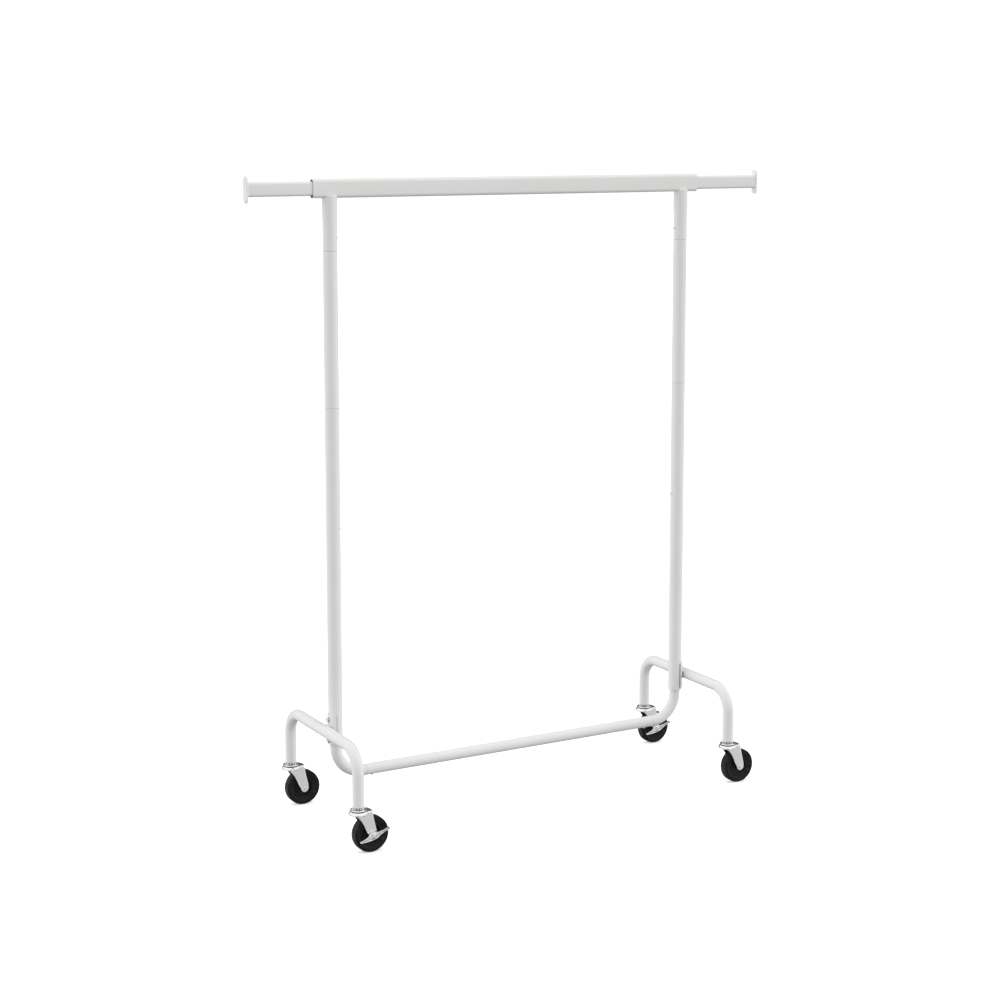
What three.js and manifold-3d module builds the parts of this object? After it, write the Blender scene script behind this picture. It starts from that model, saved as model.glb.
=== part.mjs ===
// Rolling clothes rack: flat-oval top rail with two pull-out rods, two round
// posts, a bottom bar joined by corner bends, two inverted-U base tubes and four
// swivel casters, two of them braked.  Millimetres, +Z up, floor at Z = 0,
// X along the rail, -Y is the front.
import * as THREE from 'three';
import { mergeVertices } from 'three/addons/utils/BufferGeometryUtils.js';
import Module from 'manifold-3d';

const wasm = await Module();
wasm.setup();

// ---------------------------------------------------------------- dimensions
const GAP = 0.3;                 // working gap left between neighbouring pieces

// whole model is moved so its bounding box is centred on X = Y = 0
const SHIFT_X = -12.0;
const SHIFT_Y = 3.4;

// top rail
const RAIL_Z = 1568;             // rail centre line
const RAIL_H = 45;               // tall
const RAIL_D = 20;               // deep
const RAIL_R = 8.5;              // corner radius
const RAIL_WALL = 1.2;
const RAIL_HALF = 548;           // half length of the outer tube

// pull-out rods
const ROD_H = 34;
const ROD_D = 14.6;
const ROD_R = 6.3;
const ROD_WALL = 1.2;
const ROD_LEN = 520;
const BUSH_SET = 0.8;            // the bushing sits this far inside the rail rim
const CAP_LEFT_X = -717;         // outer face of the left end cap
const CAP_RIGHT_X = 741;         // outer face of the right end cap
const CAP_T = 4;
const CAP_H = 64;
const CAP_D = 21;

// posts
const POST_X = 502;
const POST_R = 17.5;
const POST_WALL = 1.5;
const SEAM_TOP_Z = 1420;         // welded stub meets the upper post
const SEAM_MID_Z = 1043;         // upper post meets the lower post
const POST_BOTTOM_Z = 210;
const NECK_R = 15.6;             // swaged neck / sleeve outside radius
const NECK_WALL = 1.4;
const SCREW_TOP_Z = 1451;
const SCREW_MID_Z = 748;
const SADDLE_RISE = 7;           // how far the post top climbs the rail faces

// bottom bar and corner bends
const BAR_Z = 132;
const BAR_R = 14;
const BAR_WALL = 1.4;
const BEND_R = 70;
const BEND_TOP_Z = 300;
const BAR_HALF = 424;
const BAR_SCREW_X = 404.5;

// base tubes
const BASE_Z = 250;
const BASE_R = 14;
const BASE_WALL = 1.4;
const BASE_BEND = 60;
const LEG_Y = 199;
const LEG_BOTTOM_Z = 114;

// saddle bracket
const BRACKET_T = 2;
const BRACKET_Z0 = 213;
const BRACKET_Z1 = 287;
const BOLT_Z = [221.5, 273.5];

// casters
const WHEEL_R = 45;
const WHEEL_SEG = 24;
const TRAIL = 30;
const FORK_IN = 15.0;            // inner face of a fork arm from the wheel mid-plane
const FORK_T = 2.5;
const RACE_R = 24.0;
const FORK_TOP = 104.5;          // top face of the swivelling plate
const AXLE_R = 4;

// derived
const BRACKET_IN = POST_R + GAP;
const BRACKET_OUT = BRACKET_IN + BRACKET_T;
const BASE_X = POST_X + BRACKET_OUT + GAP + BASE_R;
const AXLE_Z = WHEEL_R * Math.cos(Math.PI / WHEEL_SEG);

// ---------------------------------------------------------------- helpers
const V = (x, y, z) => new THREE.Vector3(x, y, z);

// positions only, welded, with zero-area triangles dropped
function tidy(geo) {
  const g = new THREE.BufferGeometry();
  g.setAttribute('position', geo.getAttribute('position').clone());
  if (geo.index) g.setIndex(Array.from(geo.index.array));
  const m = mergeVertices(g, 1e-4);
  const idx = m.index.array;
  const keep = [];
  for (let i = 0; i < idx.length; i += 3) {
    const a = idx[i], b = idx[i + 1], c = idx[i + 2];
    if (a !== b && b !== c && a !== c) keep.push(a, b, c);
  }
  m.setIndex(keep);
  m.computeVertexNormals();
  return m;
}

function solid(geo) {
  const m = tidy(geo);
  return new wasm.Manifold(new wasm.Mesh({
    numProp: 3,
    vertProperties: new Float32Array(m.getAttribute('position').array),
    triVerts: new Uint32Array(m.index.array),
  }));
}

function back(man) {
  const mesh = man.getMesh();
  const g = new THREE.BufferGeometry();
  g.setAttribute('position', new THREE.BufferAttribute(new Float32Array(mesh.vertProperties), 3));
  g.setIndex(Array.from(mesh.triVerts));
  g.computeVertexNormals();
  return g;
}

function join(...geos) {
  return back(geos.map(solid).reduce((a, b) => wasm.Manifold.union(a, b)));
}
function cut(geo, ...cutters) {
  return back(cutters.map(solid).reduce((a, b) => wasm.Manifold.difference(a, b), solid(geo)));
}

function ring(r, n, turn = 0) {
  const out = [];
  for (let i = 0; i < n; i++) {
    const a = turn + (i / n) * Math.PI * 2;
    out.push(new THREE.Vector2(r * Math.cos(a), r * Math.sin(a)));
  }
  return out;
}
function roundRect(w, h, r, n = 3) {
  const out = [];
  const c = [[w / 2 - r, h / 2 - r, 0], [-w / 2 + r, h / 2 - r, 1], [-w / 2 + r, -h / 2 + r, 2], [w / 2 - r, -h / 2 + r, 3]];
  for (const [cx, cy, q] of c) {
    for (let i = 0; i <= n; i++) {
      const a = (q + i / n) * Math.PI / 2;
      out.push(new THREE.Vector2(cx + r * Math.cos(a), cy + r * Math.sin(a)));
    }
  }
  return out;
}
function extrude(outer, holes, depth) {
  const s = new THREE.Shape(outer);
  for (const h of holes) s.holes.push(new THREE.Path(h));
  return new THREE.ExtrudeGeometry(s, { depth, bevelEnabled: false, steps: 1 });
}
// shape drawn in (Y, Z), extruded towards +X, starting at x0
function alongX(outer, holes, x0, len, y = 0, z = 0) {
  const g = extrude(outer, holes, len);
  g.applyMatrix4(new THREE.Matrix4().makeBasis(V(0, 1, 0), V(0, 0, 1), V(1, 0, 0)));
  g.translate(x0, y, z);
  return g;
}
// shape drawn in (X, Z), extruded towards -Y, starting at y0
function alongY(outer, holes, y0, len) {
  const g = extrude(outer, holes, len);
  g.rotateX(Math.PI / 2);
  g.translate(0, y0, 0);
  return g;
}
// closed or on-axis profile [[r, z], ...] turned about Z; outside goes up
function turned(profile, seg, closed, x = 0, y = 0, z = 0) {
  const pts = profile.map(([r, h]) => new THREE.Vector2(r, h));
  if (closed) pts.push(pts[0].clone());
  const g = new THREE.LatheGeometry(pts, seg);
  g.rotateX(Math.PI / 2);
  g.translate(x, y, z);
  return g;
}
function tubeZ(R, wall, z0, z1, seg, x = 0, y = 0) {
  return turned([[R - wall, z0], [R, z0], [R, z1], [R - wall, z1]], seg, true, x, y, 0);
}
// plain cutter cylinders
function drill(axis, r, len, x, y, z, seg = 12) {
  const g = new THREE.CylinderGeometry(r, r, len, seg);
  if (axis === 'x') g.rotateZ(Math.PI / 2);
  if (axis === 'z') g.rotateX(Math.PI / 2);
  g.translate(x, y, z);
  return g;
}

// a path given by explicit stations, so straight runs cost one step
class StationPath extends THREE.Curve {
  constructor(points, tangents) {
    super();
    this.points = points;
    this.tangents = tangents;
  }
  at(list, u) {
    return list[Math.min(list.length - 1, Math.max(0, Math.round(u * (list.length - 1))))];
  }
  getPoint(u, t = new THREE.Vector3()) { return t.copy(this.at(this.points, u)); }
  getPointAt(u, t = new THREE.Vector3()) { return t.copy(this.at(this.points, u)); }
  getTangentAt(u, t = new THREE.Vector3()) { return t.copy(this.at(this.tangents, u)); }
  getSpacedPoints() { return this.points.map((p) => p.clone()); }
}
// polyline with rounded corners -> stations
function roundedPath(corners, radius, steps) {
  const P = [corners[0].clone()], T = [];
  T.push(corners[1].clone().sub(corners[0]).normalize());
  for (let i = 1; i < corners.length - 1; i++) {
    const d0 = corners[i].clone().sub(corners[i - 1]).normalize();
    const d1 = corners[i + 1].clone().sub(corners[i]).normalize();
    const ang = d0.angleTo(d1);
    const back0 = radius * Math.tan(ang / 2);
    const start = corners[i].clone().addScaledVector(d0, -back0);
    const side = d1.clone().addScaledVector(d0, -d0.dot(d1)).normalize();
    const centre = start.clone().addScaledVector(side, radius);
    for (let k = 0; k <= steps; k++) {
      const a = ang * k / steps;
      P.push(centre.clone().addScaledVector(side, -radius * Math.cos(a)).addScaledVector(d0, radius * Math.sin(a)));
      T.push(d0.clone().multiplyScalar(Math.cos(a)).addScaledVector(side, Math.sin(a)).normalize());
    }
  }
  const n = corners.length;
  P.push(corners[n - 1].clone());
  T.push(corners[n - 1].clone().sub(corners[n - 2]).normalize());
  return new StationPath(P, T);
}
function sweptTube(path, R, wall, seg) {
  const s = new THREE.Shape(ring(R, seg));
  s.holes.push(new THREE.Path(ring(R - wall, seg)));
  return new THREE.ExtrudeGeometry(s, { steps: path.points.length - 1, bevelEnabled: false, extrudePath: path });
}

// ---------------------------------------------------------------- materials
const MAT = {
  white: [0xe9e9e7, 0.42, 0.0],
  black: [0x151515, 0.5, 0.0],
  plastic: [0xe4e4e2, 0.5, 0.0],
  zinc: [0xc4c7ca, 0.28, 1.0],
  steel: [0xb4b7ba, 0.35, 1.0],
  rubber: [0x19191a, 0.62, 0.0],
};
const group = new THREE.Group();
group.name = 'rolling_clothes_rack';
group.position.set(SHIFT_X, SHIFT_Y, 0);
function add(name, geo, mat, parent = group) {
  const g = tidy(geo);
  const [color, roughness, metalness] = MAT[mat];
  const m = new THREE.Mesh(g, new THREE.MeshStandardMaterial({ color, roughness, metalness }));
  m.name = name;
  parent.add(m);
}
const SIDES = [['left', -1], ['right', 1]];

// ---------------------------------------------------------------- top rail
const railOuter = roundRect(RAIL_D, RAIL_H, RAIL_R, 4);
const railInner = roundRect(RAIL_D - 2 * RAIL_WALL, RAIL_H - 2 * RAIL_WALL, RAIL_R - RAIL_WALL, 4);
add('rail_outer_tube', alongX(railOuter, [railInner], -RAIL_HALF, 2 * RAIL_HALF, 0, RAIL_Z), 'white');

const rodOuter = roundRect(ROD_D, ROD_H, ROD_R);
const rodInner = roundRect(ROD_D - 2 * ROD_WALL, ROD_H - 2 * ROD_WALL, ROD_R - ROD_WALL);
const rodClear = roundRect(ROD_D + 2 * GAP, ROD_H + 2 * GAP, ROD_R + GAP);
const plugOuter = roundRect(RAIL_D - 2 * RAIL_WALL - 2 * GAP, RAIL_H - 2 * RAIL_WALL - 2 * GAP, RAIL_R - RAIL_WALL - GAP);

for (const [side, s] of SIDES) {
  // bushing: a sleeve pressed into the rail end, set just inside its rim
  const plugX = s < 0 ? -RAIL_HALF + BUSH_SET : RAIL_HALF - 24;
  add(`rail_bushing_${side}`, alongX(plugOuter, [rodClear], plugX, 24 - BUSH_SET, 0, RAIL_Z), 'black');

  // pull-out rod
  const capOuter = s < 0 ? CAP_LEFT_X : CAP_RIGHT_X;
  const rodEnd = capOuter - s * (CAP_T + GAP);           // outer end of the rod tube
  const x0 = s < 0 ? rodEnd : rodEnd - ROD_LEN;
  add(`extension_rod_${side}`, alongX(rodOuter, [rodInner], x0, ROD_LEN, 0, RAIL_Z), 'white');

  // end cap: pill plate with a plug inside the rod
  const plate = alongX(roundRect(CAP_D, CAP_H, CAP_D / 2 - 0.6, 5), [], s < 0 ? capOuter : capOuter - CAP_T, CAP_T, 0, RAIL_Z);
  const capPlug = roundRect(ROD_D - 2 * ROD_WALL - 2 * GAP, ROD_H - 2 * ROD_WALL - 2 * GAP, ROD_R - ROD_WALL - GAP);
  const plug = alongX(capPlug, [], s < 0 ? capOuter + 1 : capOuter - 1 - 20, 20, 0, RAIL_Z);
  add(`end_cap_${side}`, join(plate, plug), 'plastic');

  // glider on the inner end of the rod, running in the rail
  const inner = rodEnd - s * ROD_LEN;
  const gPlate = alongX(plugOuter, [], s < 0 ? inner + GAP : inner - GAP - 5, 5, 0, RAIL_Z);
  const gPlug = alongX(capPlug, [], s < 0 ? inner - 16 : inner - GAP - 1, GAP + 17, 0, RAIL_Z);
  add(`rod_glider_${side}`, join(gPlate, gPlug), 'black');
}

// ---------------------------------------------------------------- posts
const railBottom = RAIL_Z - RAIL_H / 2;
const SEG = 20;
for (const [side, s] of SIDES) {
  const px = s * POST_X;
  // screws sit on the side facing the other post
  const faceX = px - s * POST_R;

  // stub welded under the rail, its ears climbing both rail faces
  const stub = tubeZ(POST_R, POST_WALL, SEAM_TOP_Z + GAP / 2, railBottom + SADDLE_RISE, SEG, px);
  const slot = alongX(roundRect(RAIL_D + 2 * GAP, RAIL_H + 2 * GAP, RAIL_R + GAP), [], px - 30, 60, 0, RAIL_Z);
  add(`post_stub_${side}`, cut(stub, slot, drill('x', 2.3, 8, faceX, 0, SCREW_TOP_Z)), 'white');

  // upper post with a swaged neck that slides up into the stub
  const zs = SEAM_TOP_Z - GAP / 2, zn = SEAM_TOP_Z + 68;
  const upper = turned([
    [POST_R - POST_WALL, SEAM_MID_Z + GAP / 2], [POST_R, SEAM_MID_Z + GAP / 2], [POST_R, zs - 2.2], [POST_R - 0.5, zs - 0.7],
    [NECK_R, zs], [NECK_R, zn - 3], [NECK_R - 0.7, zn], [NECK_R - NECK_WALL, zn], [NECK_R - NECK_WALL, zs - 4],
    [POST_R - POST_WALL, zs - 8],
  ], SEG, true, px);
  add(`upper_post_${side}`, cut(upper, drill('x', 2.3, 12, faceX, 0, SCREW_TOP_Z)), 'white');

  // lower post
  const lower = tubeZ(POST_R, POST_WALL, POST_BOTTOM_Z, SEAM_MID_Z - GAP / 2, SEG, px);
  const boltHoles = BOLT_Z.map((z) => drill('x', 3.4, 14, px + s * POST_R, 0, z));
  add(`lower_post_${side}`, cut(lower, drill('x', 2.3, 8, faceX, 0, SCREW_MID_Z), ...boltHoles), 'white');

  // sleeve inside both posts across the middle seam
  const sleeve = tubeZ(NECK_R, NECK_WALL, SCREW_MID_Z - 48, SEAM_MID_Z + 70, SEG, px);
  add(`post_joint_sleeve_${side}`, cut(sleeve, drill('x', 2.3, 12, faceX, 0, SCREW_MID_Z)), 'steel');

  // reducer ring between the post foot and the thinner corner bend
  const reducer = tubeZ(NECK_R, NECK_R - BAR_R - 0.3, POST_BOTTOM_Z + 0.5, BEND_TOP_Z - 4, SEG, px);
  const reducerHoles = BOLT_Z.map((z) => drill('x', 3.4, 14, px + s * POST_R, 0, z));
  // (kept thin: the bend slides inside it)
  add(`bend_reducer_${side}`, cut(reducer, ...reducerHoles), 'steel');

  // pan-head screws through the post wall into the neck / sleeve
  for (const [tag, z] of [['upper', SCREW_TOP_Z], ['middle', SCREW_MID_Z]]) {
    const g = turned([[0, -5], [1.9, -5], [1.9, 0.35], [3.5, 0.35], [3.5, 1.4], [2.6, 2.5], [0, 2.9]], 8, false);
    g.rotateY(-s * Math.PI / 2);
    g.translate(faceX, 0, z);
    add(`post_screw_${tag}_${side}`, g, 'zinc');
  }
}

// ---------------------------------------------------------------- bottom bar
{
  let bar = alongX(ring(BAR_R, 16), [ring(BAR_R - BAR_WALL, 16)], -BAR_HALF + GAP / 2, 2 * BAR_HALF - GAP, 0, BAR_Z);
  bar = cut(bar, ...SIDES.map(([, s]) => drill('z', 2.3, 8, s * BAR_SCREW_X, 0, BAR_Z - BAR_R)));
  add('bottom_bar', bar, 'white');
}
for (const [side, s] of SIDES) {
  const path = roundedPath([V(s * POST_X, 0, BEND_TOP_Z), V(s * POST_X, 0, BAR_Z), V(s * (BAR_HALF + GAP / 2), 0, BAR_Z)], BEND_R, 6);
  const tube = sweptTube(path, BAR_R, BAR_WALL, 16);
  // swaged neck that enters the bottom bar
  const nr = BAR_R - BAR_WALL - 0.4;
  const neck = turned([[nr - 1.2, -58], [nr, -58], [nr, -GAP / 2 + 0.15], [nr + 1.1, 0.3], [nr + 1.1, 6], [nr - 1.2, 6]], 16, true);
  neck.rotateY(s * Math.PI / 2);
  neck.translate(s * (BAR_HALF + GAP / 2), 0, BAR_Z);
  const holes = BOLT_Z.map((z) => drill('x', 3.4, 14, s * (POST_X + POST_R), 0, z));
  add(`corner_bend_${side}`, cut(join(tube, neck), drill('z', 2.3, 14, s * BAR_SCREW_X, 0, BAR_Z - BAR_R), ...holes), 'white');

  const g = turned([[0, -5], [1.9, -5], [1.9, 0.35], [3.5, 0.35], [3.5, 1.4], [2.6, 2.5], [0, 2.9]], 8, false);
  g.rotateX(Math.PI);
  g.translate(s * BAR_SCREW_X, 0, BAR_Z - BAR_R);
  add(`bar_screw_${side}`, g, 'zinc');
}

// ---------------------------------------------------------------- base tubes, brackets
for (const [side, s] of SIDES) {
  const bx = s * BASE_X;
  const path = roundedPath([V(bx, -LEG_Y, LEG_BOTTOM_Z), V(bx, -LEG_Y, BASE_Z), V(bx, LEG_Y, BASE_Z), V(bx, LEG_Y, LEG_BOTTOM_Z)], BASE_BEND, 5);
  add(`base_tube_${side}`, sweptTube(path, BASE_R, BASE_WALL, 16), 'white');

  // half-round saddle plate on the outer side of the post
  const half = 74 * Math.PI / 180, n = 10;
  const prof = [];
  for (let i = 0; i <= n; i++) {
    const a = -half + (2 * half * i) / n;
    prof.push(new THREE.Vector2(BRACKET_OUT * Math.cos(a), BRACKET_OUT * Math.sin(a)));
  }
  for (let i = n; i >= 0; i--) {
    const a = -half + (2 * half * i) / n;
    prof.push(new THREE.Vector2(BRACKET_IN * Math.cos(a), BRACKET_IN * Math.sin(a)));
  }
  let plate = extrude(prof, [], BRACKET_Z1 - BRACKET_Z0);
  if (s < 0) plate.rotateZ(Math.PI);
  plate.translate(s * POST_X, 0, BRACKET_Z0);
  plate = cut(plate, ...BOLT_Z.map((z) => drill('x', 3.4, 14, s * (POST_X + POST_R), 0, z)));
  add(`bracket_${side}`, plate, 'white');

  BOLT_Z.forEach((z, i) => {
    const g = turned([[0, -18], [2.9, -18], [2.9, 0], [5.6, 0], [5.6, 1.6], [4.2, 3.2], [0, 3.8]], 10, false);
    g.rotateY(s * Math.PI / 2);
    g.translate(s * (POST_X + BRACKET_OUT + GAP), 0, z);
    add(`bracket_bolt_${i ? 'upper' : 'lower'}_${side}`, g, 'zinc');
  });
}

// ---------------------------------------------------------------- casters
const CASTERS = [
  ['front_left', -BASE_X, -LEG_Y, true],
  ['rear_left', -BASE_X, LEG_Y, false],
  ['front_right', BASE_X, -LEG_Y, false],
  ['rear_right', BASE_X, LEG_Y, true],
];

function forkArm(y0) {
  // arm outline in (X, Z): wide under the plate, narrowing to the axle boss
  const R = 10.3;
  const pts = [[-14.5, FORK_TOP - 1.4], [-14, 97.5], [-9.5, 92.3], [-3, 85], [3, 76.5], [9, 65], [14.5, 52.5]];
  for (let i = 0; i <= 6; i++) {
    const a = Math.PI + (i / 6) * Math.PI;
    pts.push([TRAIL + R * Math.cos(a), AXLE_Z + R * Math.sin(a)]);
  }
  pts.push([39.2, 57], [35.2, 75], [32.2, 89], [30.5, FORK_TOP - 1.4]);
  return alongY(pts.map(([x, z]) => new THREE.Vector2(x, z)), [], y0, FORK_T);
}

for (const [tag, cx, cy, brake] of CASTERS) {
  const caster = new THREE.Group();
  caster.position.set(cx, cy, 0);
  group.add(caster);

  // socket pressed into the leg, with a rim under the tube end
  add(`caster_socket_${tag}`, turned([
    [5.4, 111.6], [15.3, 111.6], [15.3, LEG_BOTTOM_Z - GAP], [BASE_R - BASE_WALL - GAP, LEG_BOTTOM_Z - GAP + 0.05],
    [BASE_R - BASE_WALL - GAP, 134], [5.4, 134],
  ], 16, true), 'zinc', caster);

  // stem with its nut collar, domed upper race and riveted lower head
  add(`caster_stem_${tag}`, turned([
    [0, FORK_TOP - 6.4], [8.5, FORK_TOP - 6.4], [8.5, FORK_TOP - 2.8 - GAP], [5, FORK_TOP - 2.8 - GAP], [5, FORK_TOP + GAP],
    [19.4, FORK_TOP + GAP], [20.6, FORK_TOP + 1.3], [19.6, FORK_TOP + 2.9], [15.8, FORK_TOP + 4.2],
    [14.4, 111.3], [5, 111.3], [5, 131], [0, 132.5],
  ], 16, false), 'zinc', caster);

  // swivelling fork: round plate with a drawn rim, a lobe over the wheel and two arms
  const disc = turned([[0, FORK_TOP - 2.8], [18, FORK_TOP - 2.8], [RACE_R - 2.6, FORK_TOP - 7.8], [RACE_R - 0.2, FORK_TOP - 7.8],
    [RACE_R, FORK_TOP - 6.2], [21.6, FORK_TOP - 1], [20.4, FORK_TOP], [0, FORK_TOP]], 20, false);
  const lobe = extrude([[0, -17.5], [26, -17.5], [31, -14.5], [34, -9], [34, 9], [31, 14.5], [26, 17.5], [0, 17.5]].map(([x, y]) => new THREE.Vector2(x, y)), [], 2.4);
  lobe.translate(0, 0, FORK_TOP - 2.6);
  let fork = join(disc, lobe, forkArm(FORK_IN + FORK_T), forkArm(-FORK_IN));
  fork = cut(fork, drill('z', 5.35, 20, 0, 0, FORK_TOP, 16), drill('y', AXLE_R + 0.3, 60, TRAIL, 0, AXLE_Z, 12));
  add(`caster_fork_${tag}`, fork, 'zinc', caster);

  // wheel: rounded tread, recessed sides, raised hub
  const w = turned([
    [AXLE_R + 0.4, -14.5], [9, -14.5], [10.5, -8], [33.5, -8], [35.5, -10.8], [42.8, -11.2], [WHEEL_R, -9.6],
    [WHEEL_R, 9.6], [42.8, 11.2], [35.5, 10.8], [33.5, 8], [10.5, 8], [9, 14.5], [AXLE_R + 0.4, 14.5],
  ], WHEEL_SEG, true);
  w.rotateZ(Math.PI / WHEEL_SEG);
  w.rotateX(Math.PI / 2);
  w.translate(TRAIL, 0, AXLE_Z);
  add(`caster_wheel_${tag}`, w, 'rubber', caster);

  // axle rivet; on braked casters it also carries the cam and the lever
  const yo = FORK_IN + FORK_T + GAP;
  const yb = brake ? yo + 2.4 + GAP + 2 + GAP : yo;      // head seat on the -Y side
  const a = turned([
    [0, -yo - 3.2], [4.4, -yo - 3.0], [7, -yo - 1.6], [7, -yo], [AXLE_R, -yo],
    [AXLE_R, yb], [5.4, yb], [5.4, yb + 1.8], [4.2, yb + 3.2], [0, yb + 3.4],
  ], 12, false);
  a.rotateX(Math.PI / 2);
  a.translate(TRAIL, 0, AXLE_Z);
  add(`caster_axle_${tag}`, a, 'zinc', caster);

  if (brake) {
    const cam = turned([[AXLE_R + 0.3, yo], [9.5, yo], [8.5, yo + 2.4], [AXLE_R + 0.3, yo + 2.4]], 14, true);
    cam.rotateX(Math.PI / 2);
    cam.translate(TRAIL, 0, AXLE_Z);
    add(`brake_cam_${tag}`, cam, 'steel', caster);

    // rocker lever: boat-shaped tray open to the front, with a tread tab on its +X end
    const hull = (m) => [[-39 + m, -1.8 + m * 0.4], [-29, -4.2 + m], [-14, -7 + m], [-6, -7.9 + m], [5, -7.9 + m], [12, -5.2 + m], [24, -2.6 + m * 0.6],
      [40 - m, -1.8 + m * 0.3], [40 - m, 3.2 - m * 0.3], [24, 3.6 - m * 0.6], [12, 5.6 - m], [5, 7.9 - m], [-7, 7.9 - m], [-14, 6.4 - m], [-25, 3.6 - m], [-39 + m, 2.4 - m * 0.4]];
    const yl = -(yo + 2.4 + GAP);
    const outer = alongY(hull(0).map(([x, z]) => new THREE.Vector2(x, z)), [], yl, 7);
    const inner = alongY(hull(1.7).map(([x, z]) => new THREE.Vector2(x, z)), [], yl - 2, 20);
    const tab = new THREE.BoxGeometry(17, 10.5, 2.2);
    tab.translate(33.5, yl - 5.25, 1.5);
    let lever = join(cut(outer, inner), tab);
    lever = cut(lever, drill('y', AXLE_R + 0.3, 10, 0, yl, 0, 12));
    lever.rotateY(-18 * Math.PI / 180);
    lever.translate(TRAIL, 0, AXLE_Z);
    add(`brake_lever_${tag}`, lever, 'zinc', caster);
  }
}

export default group;
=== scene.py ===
import math
import random

import bmesh
import bpy
import numpy as np
from mathutils import Matrix, Vector


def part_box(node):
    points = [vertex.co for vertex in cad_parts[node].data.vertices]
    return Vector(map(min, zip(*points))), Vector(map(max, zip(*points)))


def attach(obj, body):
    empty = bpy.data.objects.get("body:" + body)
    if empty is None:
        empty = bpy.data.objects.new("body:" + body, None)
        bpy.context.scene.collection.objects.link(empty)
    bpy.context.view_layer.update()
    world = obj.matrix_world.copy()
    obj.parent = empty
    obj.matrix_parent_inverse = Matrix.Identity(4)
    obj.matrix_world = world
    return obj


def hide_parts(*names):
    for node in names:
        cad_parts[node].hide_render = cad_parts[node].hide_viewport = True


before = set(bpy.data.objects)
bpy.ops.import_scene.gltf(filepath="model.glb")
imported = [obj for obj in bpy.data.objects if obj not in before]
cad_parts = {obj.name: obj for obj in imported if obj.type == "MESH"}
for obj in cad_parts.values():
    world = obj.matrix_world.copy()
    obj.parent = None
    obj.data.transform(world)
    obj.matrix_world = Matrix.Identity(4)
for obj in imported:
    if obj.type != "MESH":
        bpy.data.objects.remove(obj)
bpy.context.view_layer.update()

random.seed(7)
RNG = np.random.RandomState(11)

# ------------------------------------------------------------------ places from the CAD
# lengths below are millimetres in rack coordinates; OX, OY, MM take them to the row frame
MM = 0.001
_lo, _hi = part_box("rail_outer_tube")
OX, OY = (_lo[0] + _hi[0]) / 2, (_lo[1] + _hi[1]) / 2
RAIL_Z = (_lo[2] + _hi[2]) / 2 / MM
RAIL_H, RAIL_D, RAIL_R, RAIL_HALF = 45.0, 20.0, 8.5, (_hi[0] - _lo[0]) / 2 / MM
RAIL_BOTTOM = RAIL_Z - RAIL_H / 2
POST_X, POST_R, POST_IN = 502.0, 17.5, 16.0
SEAM_TOP, SEAM_MID, POST_BOTTOM = 1420.0, 1043.0, 210.0
BAR_Z, BAR_R, BAR_HALF, BEND_R, BEND_TOP = 132.0, 14.0, 424.0, 70.0, 300.0
BASE_X = 502 + 17.5 + 0.3 + 2 + 0.3 + 14
BASE_Z, BASE_R, BASE_BEND, LEG_Y, LEG_BOTTOM = 250.0, 14.0, 60.0, 199.0, 114.0
TRAIL = 30.0
AXLE_Z = 45 * math.cos(math.pi / 24)
FORK_TOP = 104.5
SIDES = (("left", -1), ("right", 1))
CASTERS = (("front_left", -1, -1, True), ("rear_left", -1, 1, False),
           ("front_right", 1, -1, False), ("rear_right", 1, 1, True))


# ------------------------------------------------------------------ mesh helpers
def circ(r, n=64, turn=0.0):
    a = np.linspace(0, 2 * np.pi, n, endpoint=False) + turn
    return np.c_[r * np.cos(a), r * np.sin(a)]


def rrect(w, h, r, n=7):
    r = max(min(r, w / 2 - 0.01, h / 2 - 0.01), 0.02)
    out = []
    for q, (cx, cy) in enumerate(((w / 2 - r, h / 2 - r), (-w / 2 + r, h / 2 - r), (-w / 2 + r, -h / 2 + r), (w / 2 - r, -h / 2 + r))):
        for i in range(n + 1):
            a = (q + i / n) * math.pi / 2
            out.append((cx + r * math.cos(a), cy + r * math.sin(a)))
    return np.array(out)


def fillet(points, r, n=3, closed=False):
    """Rounds the corners of a polyline. r is one radius or one per corner."""
    P = [np.array(p, float) for p in points]
    m, out = len(P), []
    for i, p in enumerate(P):
        ri = r[i] if isinstance(r, (list, tuple)) else r
        if ri <= 0 or (not closed and i in (0, m - 1)):
            out.append(p)
            continue
        a, b = P[i - 1] - p, P[(i + 1) % m] - p
        la, lb = np.linalg.norm(a), np.linalg.norm(b)
        if la < 1e-9 or lb < 1e-9:
            out.append(p)
            continue
        a, b = a / la, b / lb
        ang = math.acos(max(-1, min(1, float(a @ b))))
        if abs(math.pi - ang) < 0.03:
            out.append(p)
            continue
        t = min(ri / math.tan(ang / 2), 0.48 * la, 0.48 * lb)
        rr = t * math.tan(ang / 2)
        mid = (a + b) / np.linalg.norm(a + b)
        c = p + mid * rr / math.sin(ang / 2)
        v0, v1, th = p + a * t - c, p + b * t - c, math.pi - ang
        for k in range(n + 1):
            w = k / n
            out.append(c + (math.sin((1 - w) * th) * v0 + math.sin(w * th) * v1) / math.sin(th))
    return out


def spaced(rings, close):
    """Adds rings on long stretches, close to both ends and then evenly, so the mesh is even where it is plain."""
    out, m = [], len(rings)
    for i in range(m):
        a = np.asarray(rings[i], float)
        out.append(a)
        if i == m - 1 and not close:
            break
        b = np.asarray(rings[(i + 1) % m], float)
        d = float(np.linalg.norm(b - a, axis=1).max())
        if d > 9:
            steps = [2.5, 6.0]
            k = max(1, int((d - 12) / 45)) if d > 16 else 0
            steps += [6 + (d - 12) * j / (k + 1) for j in range(1, k + 1)]
            steps += [d - 6.0, d - 2.5] if d > 13 else [d - 2.5]
            for t in sorted(set(steps)):
                if 1.0 < t < d - 1.0:
                    out.append(a + (b - a) * t / d)
    return out


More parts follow.
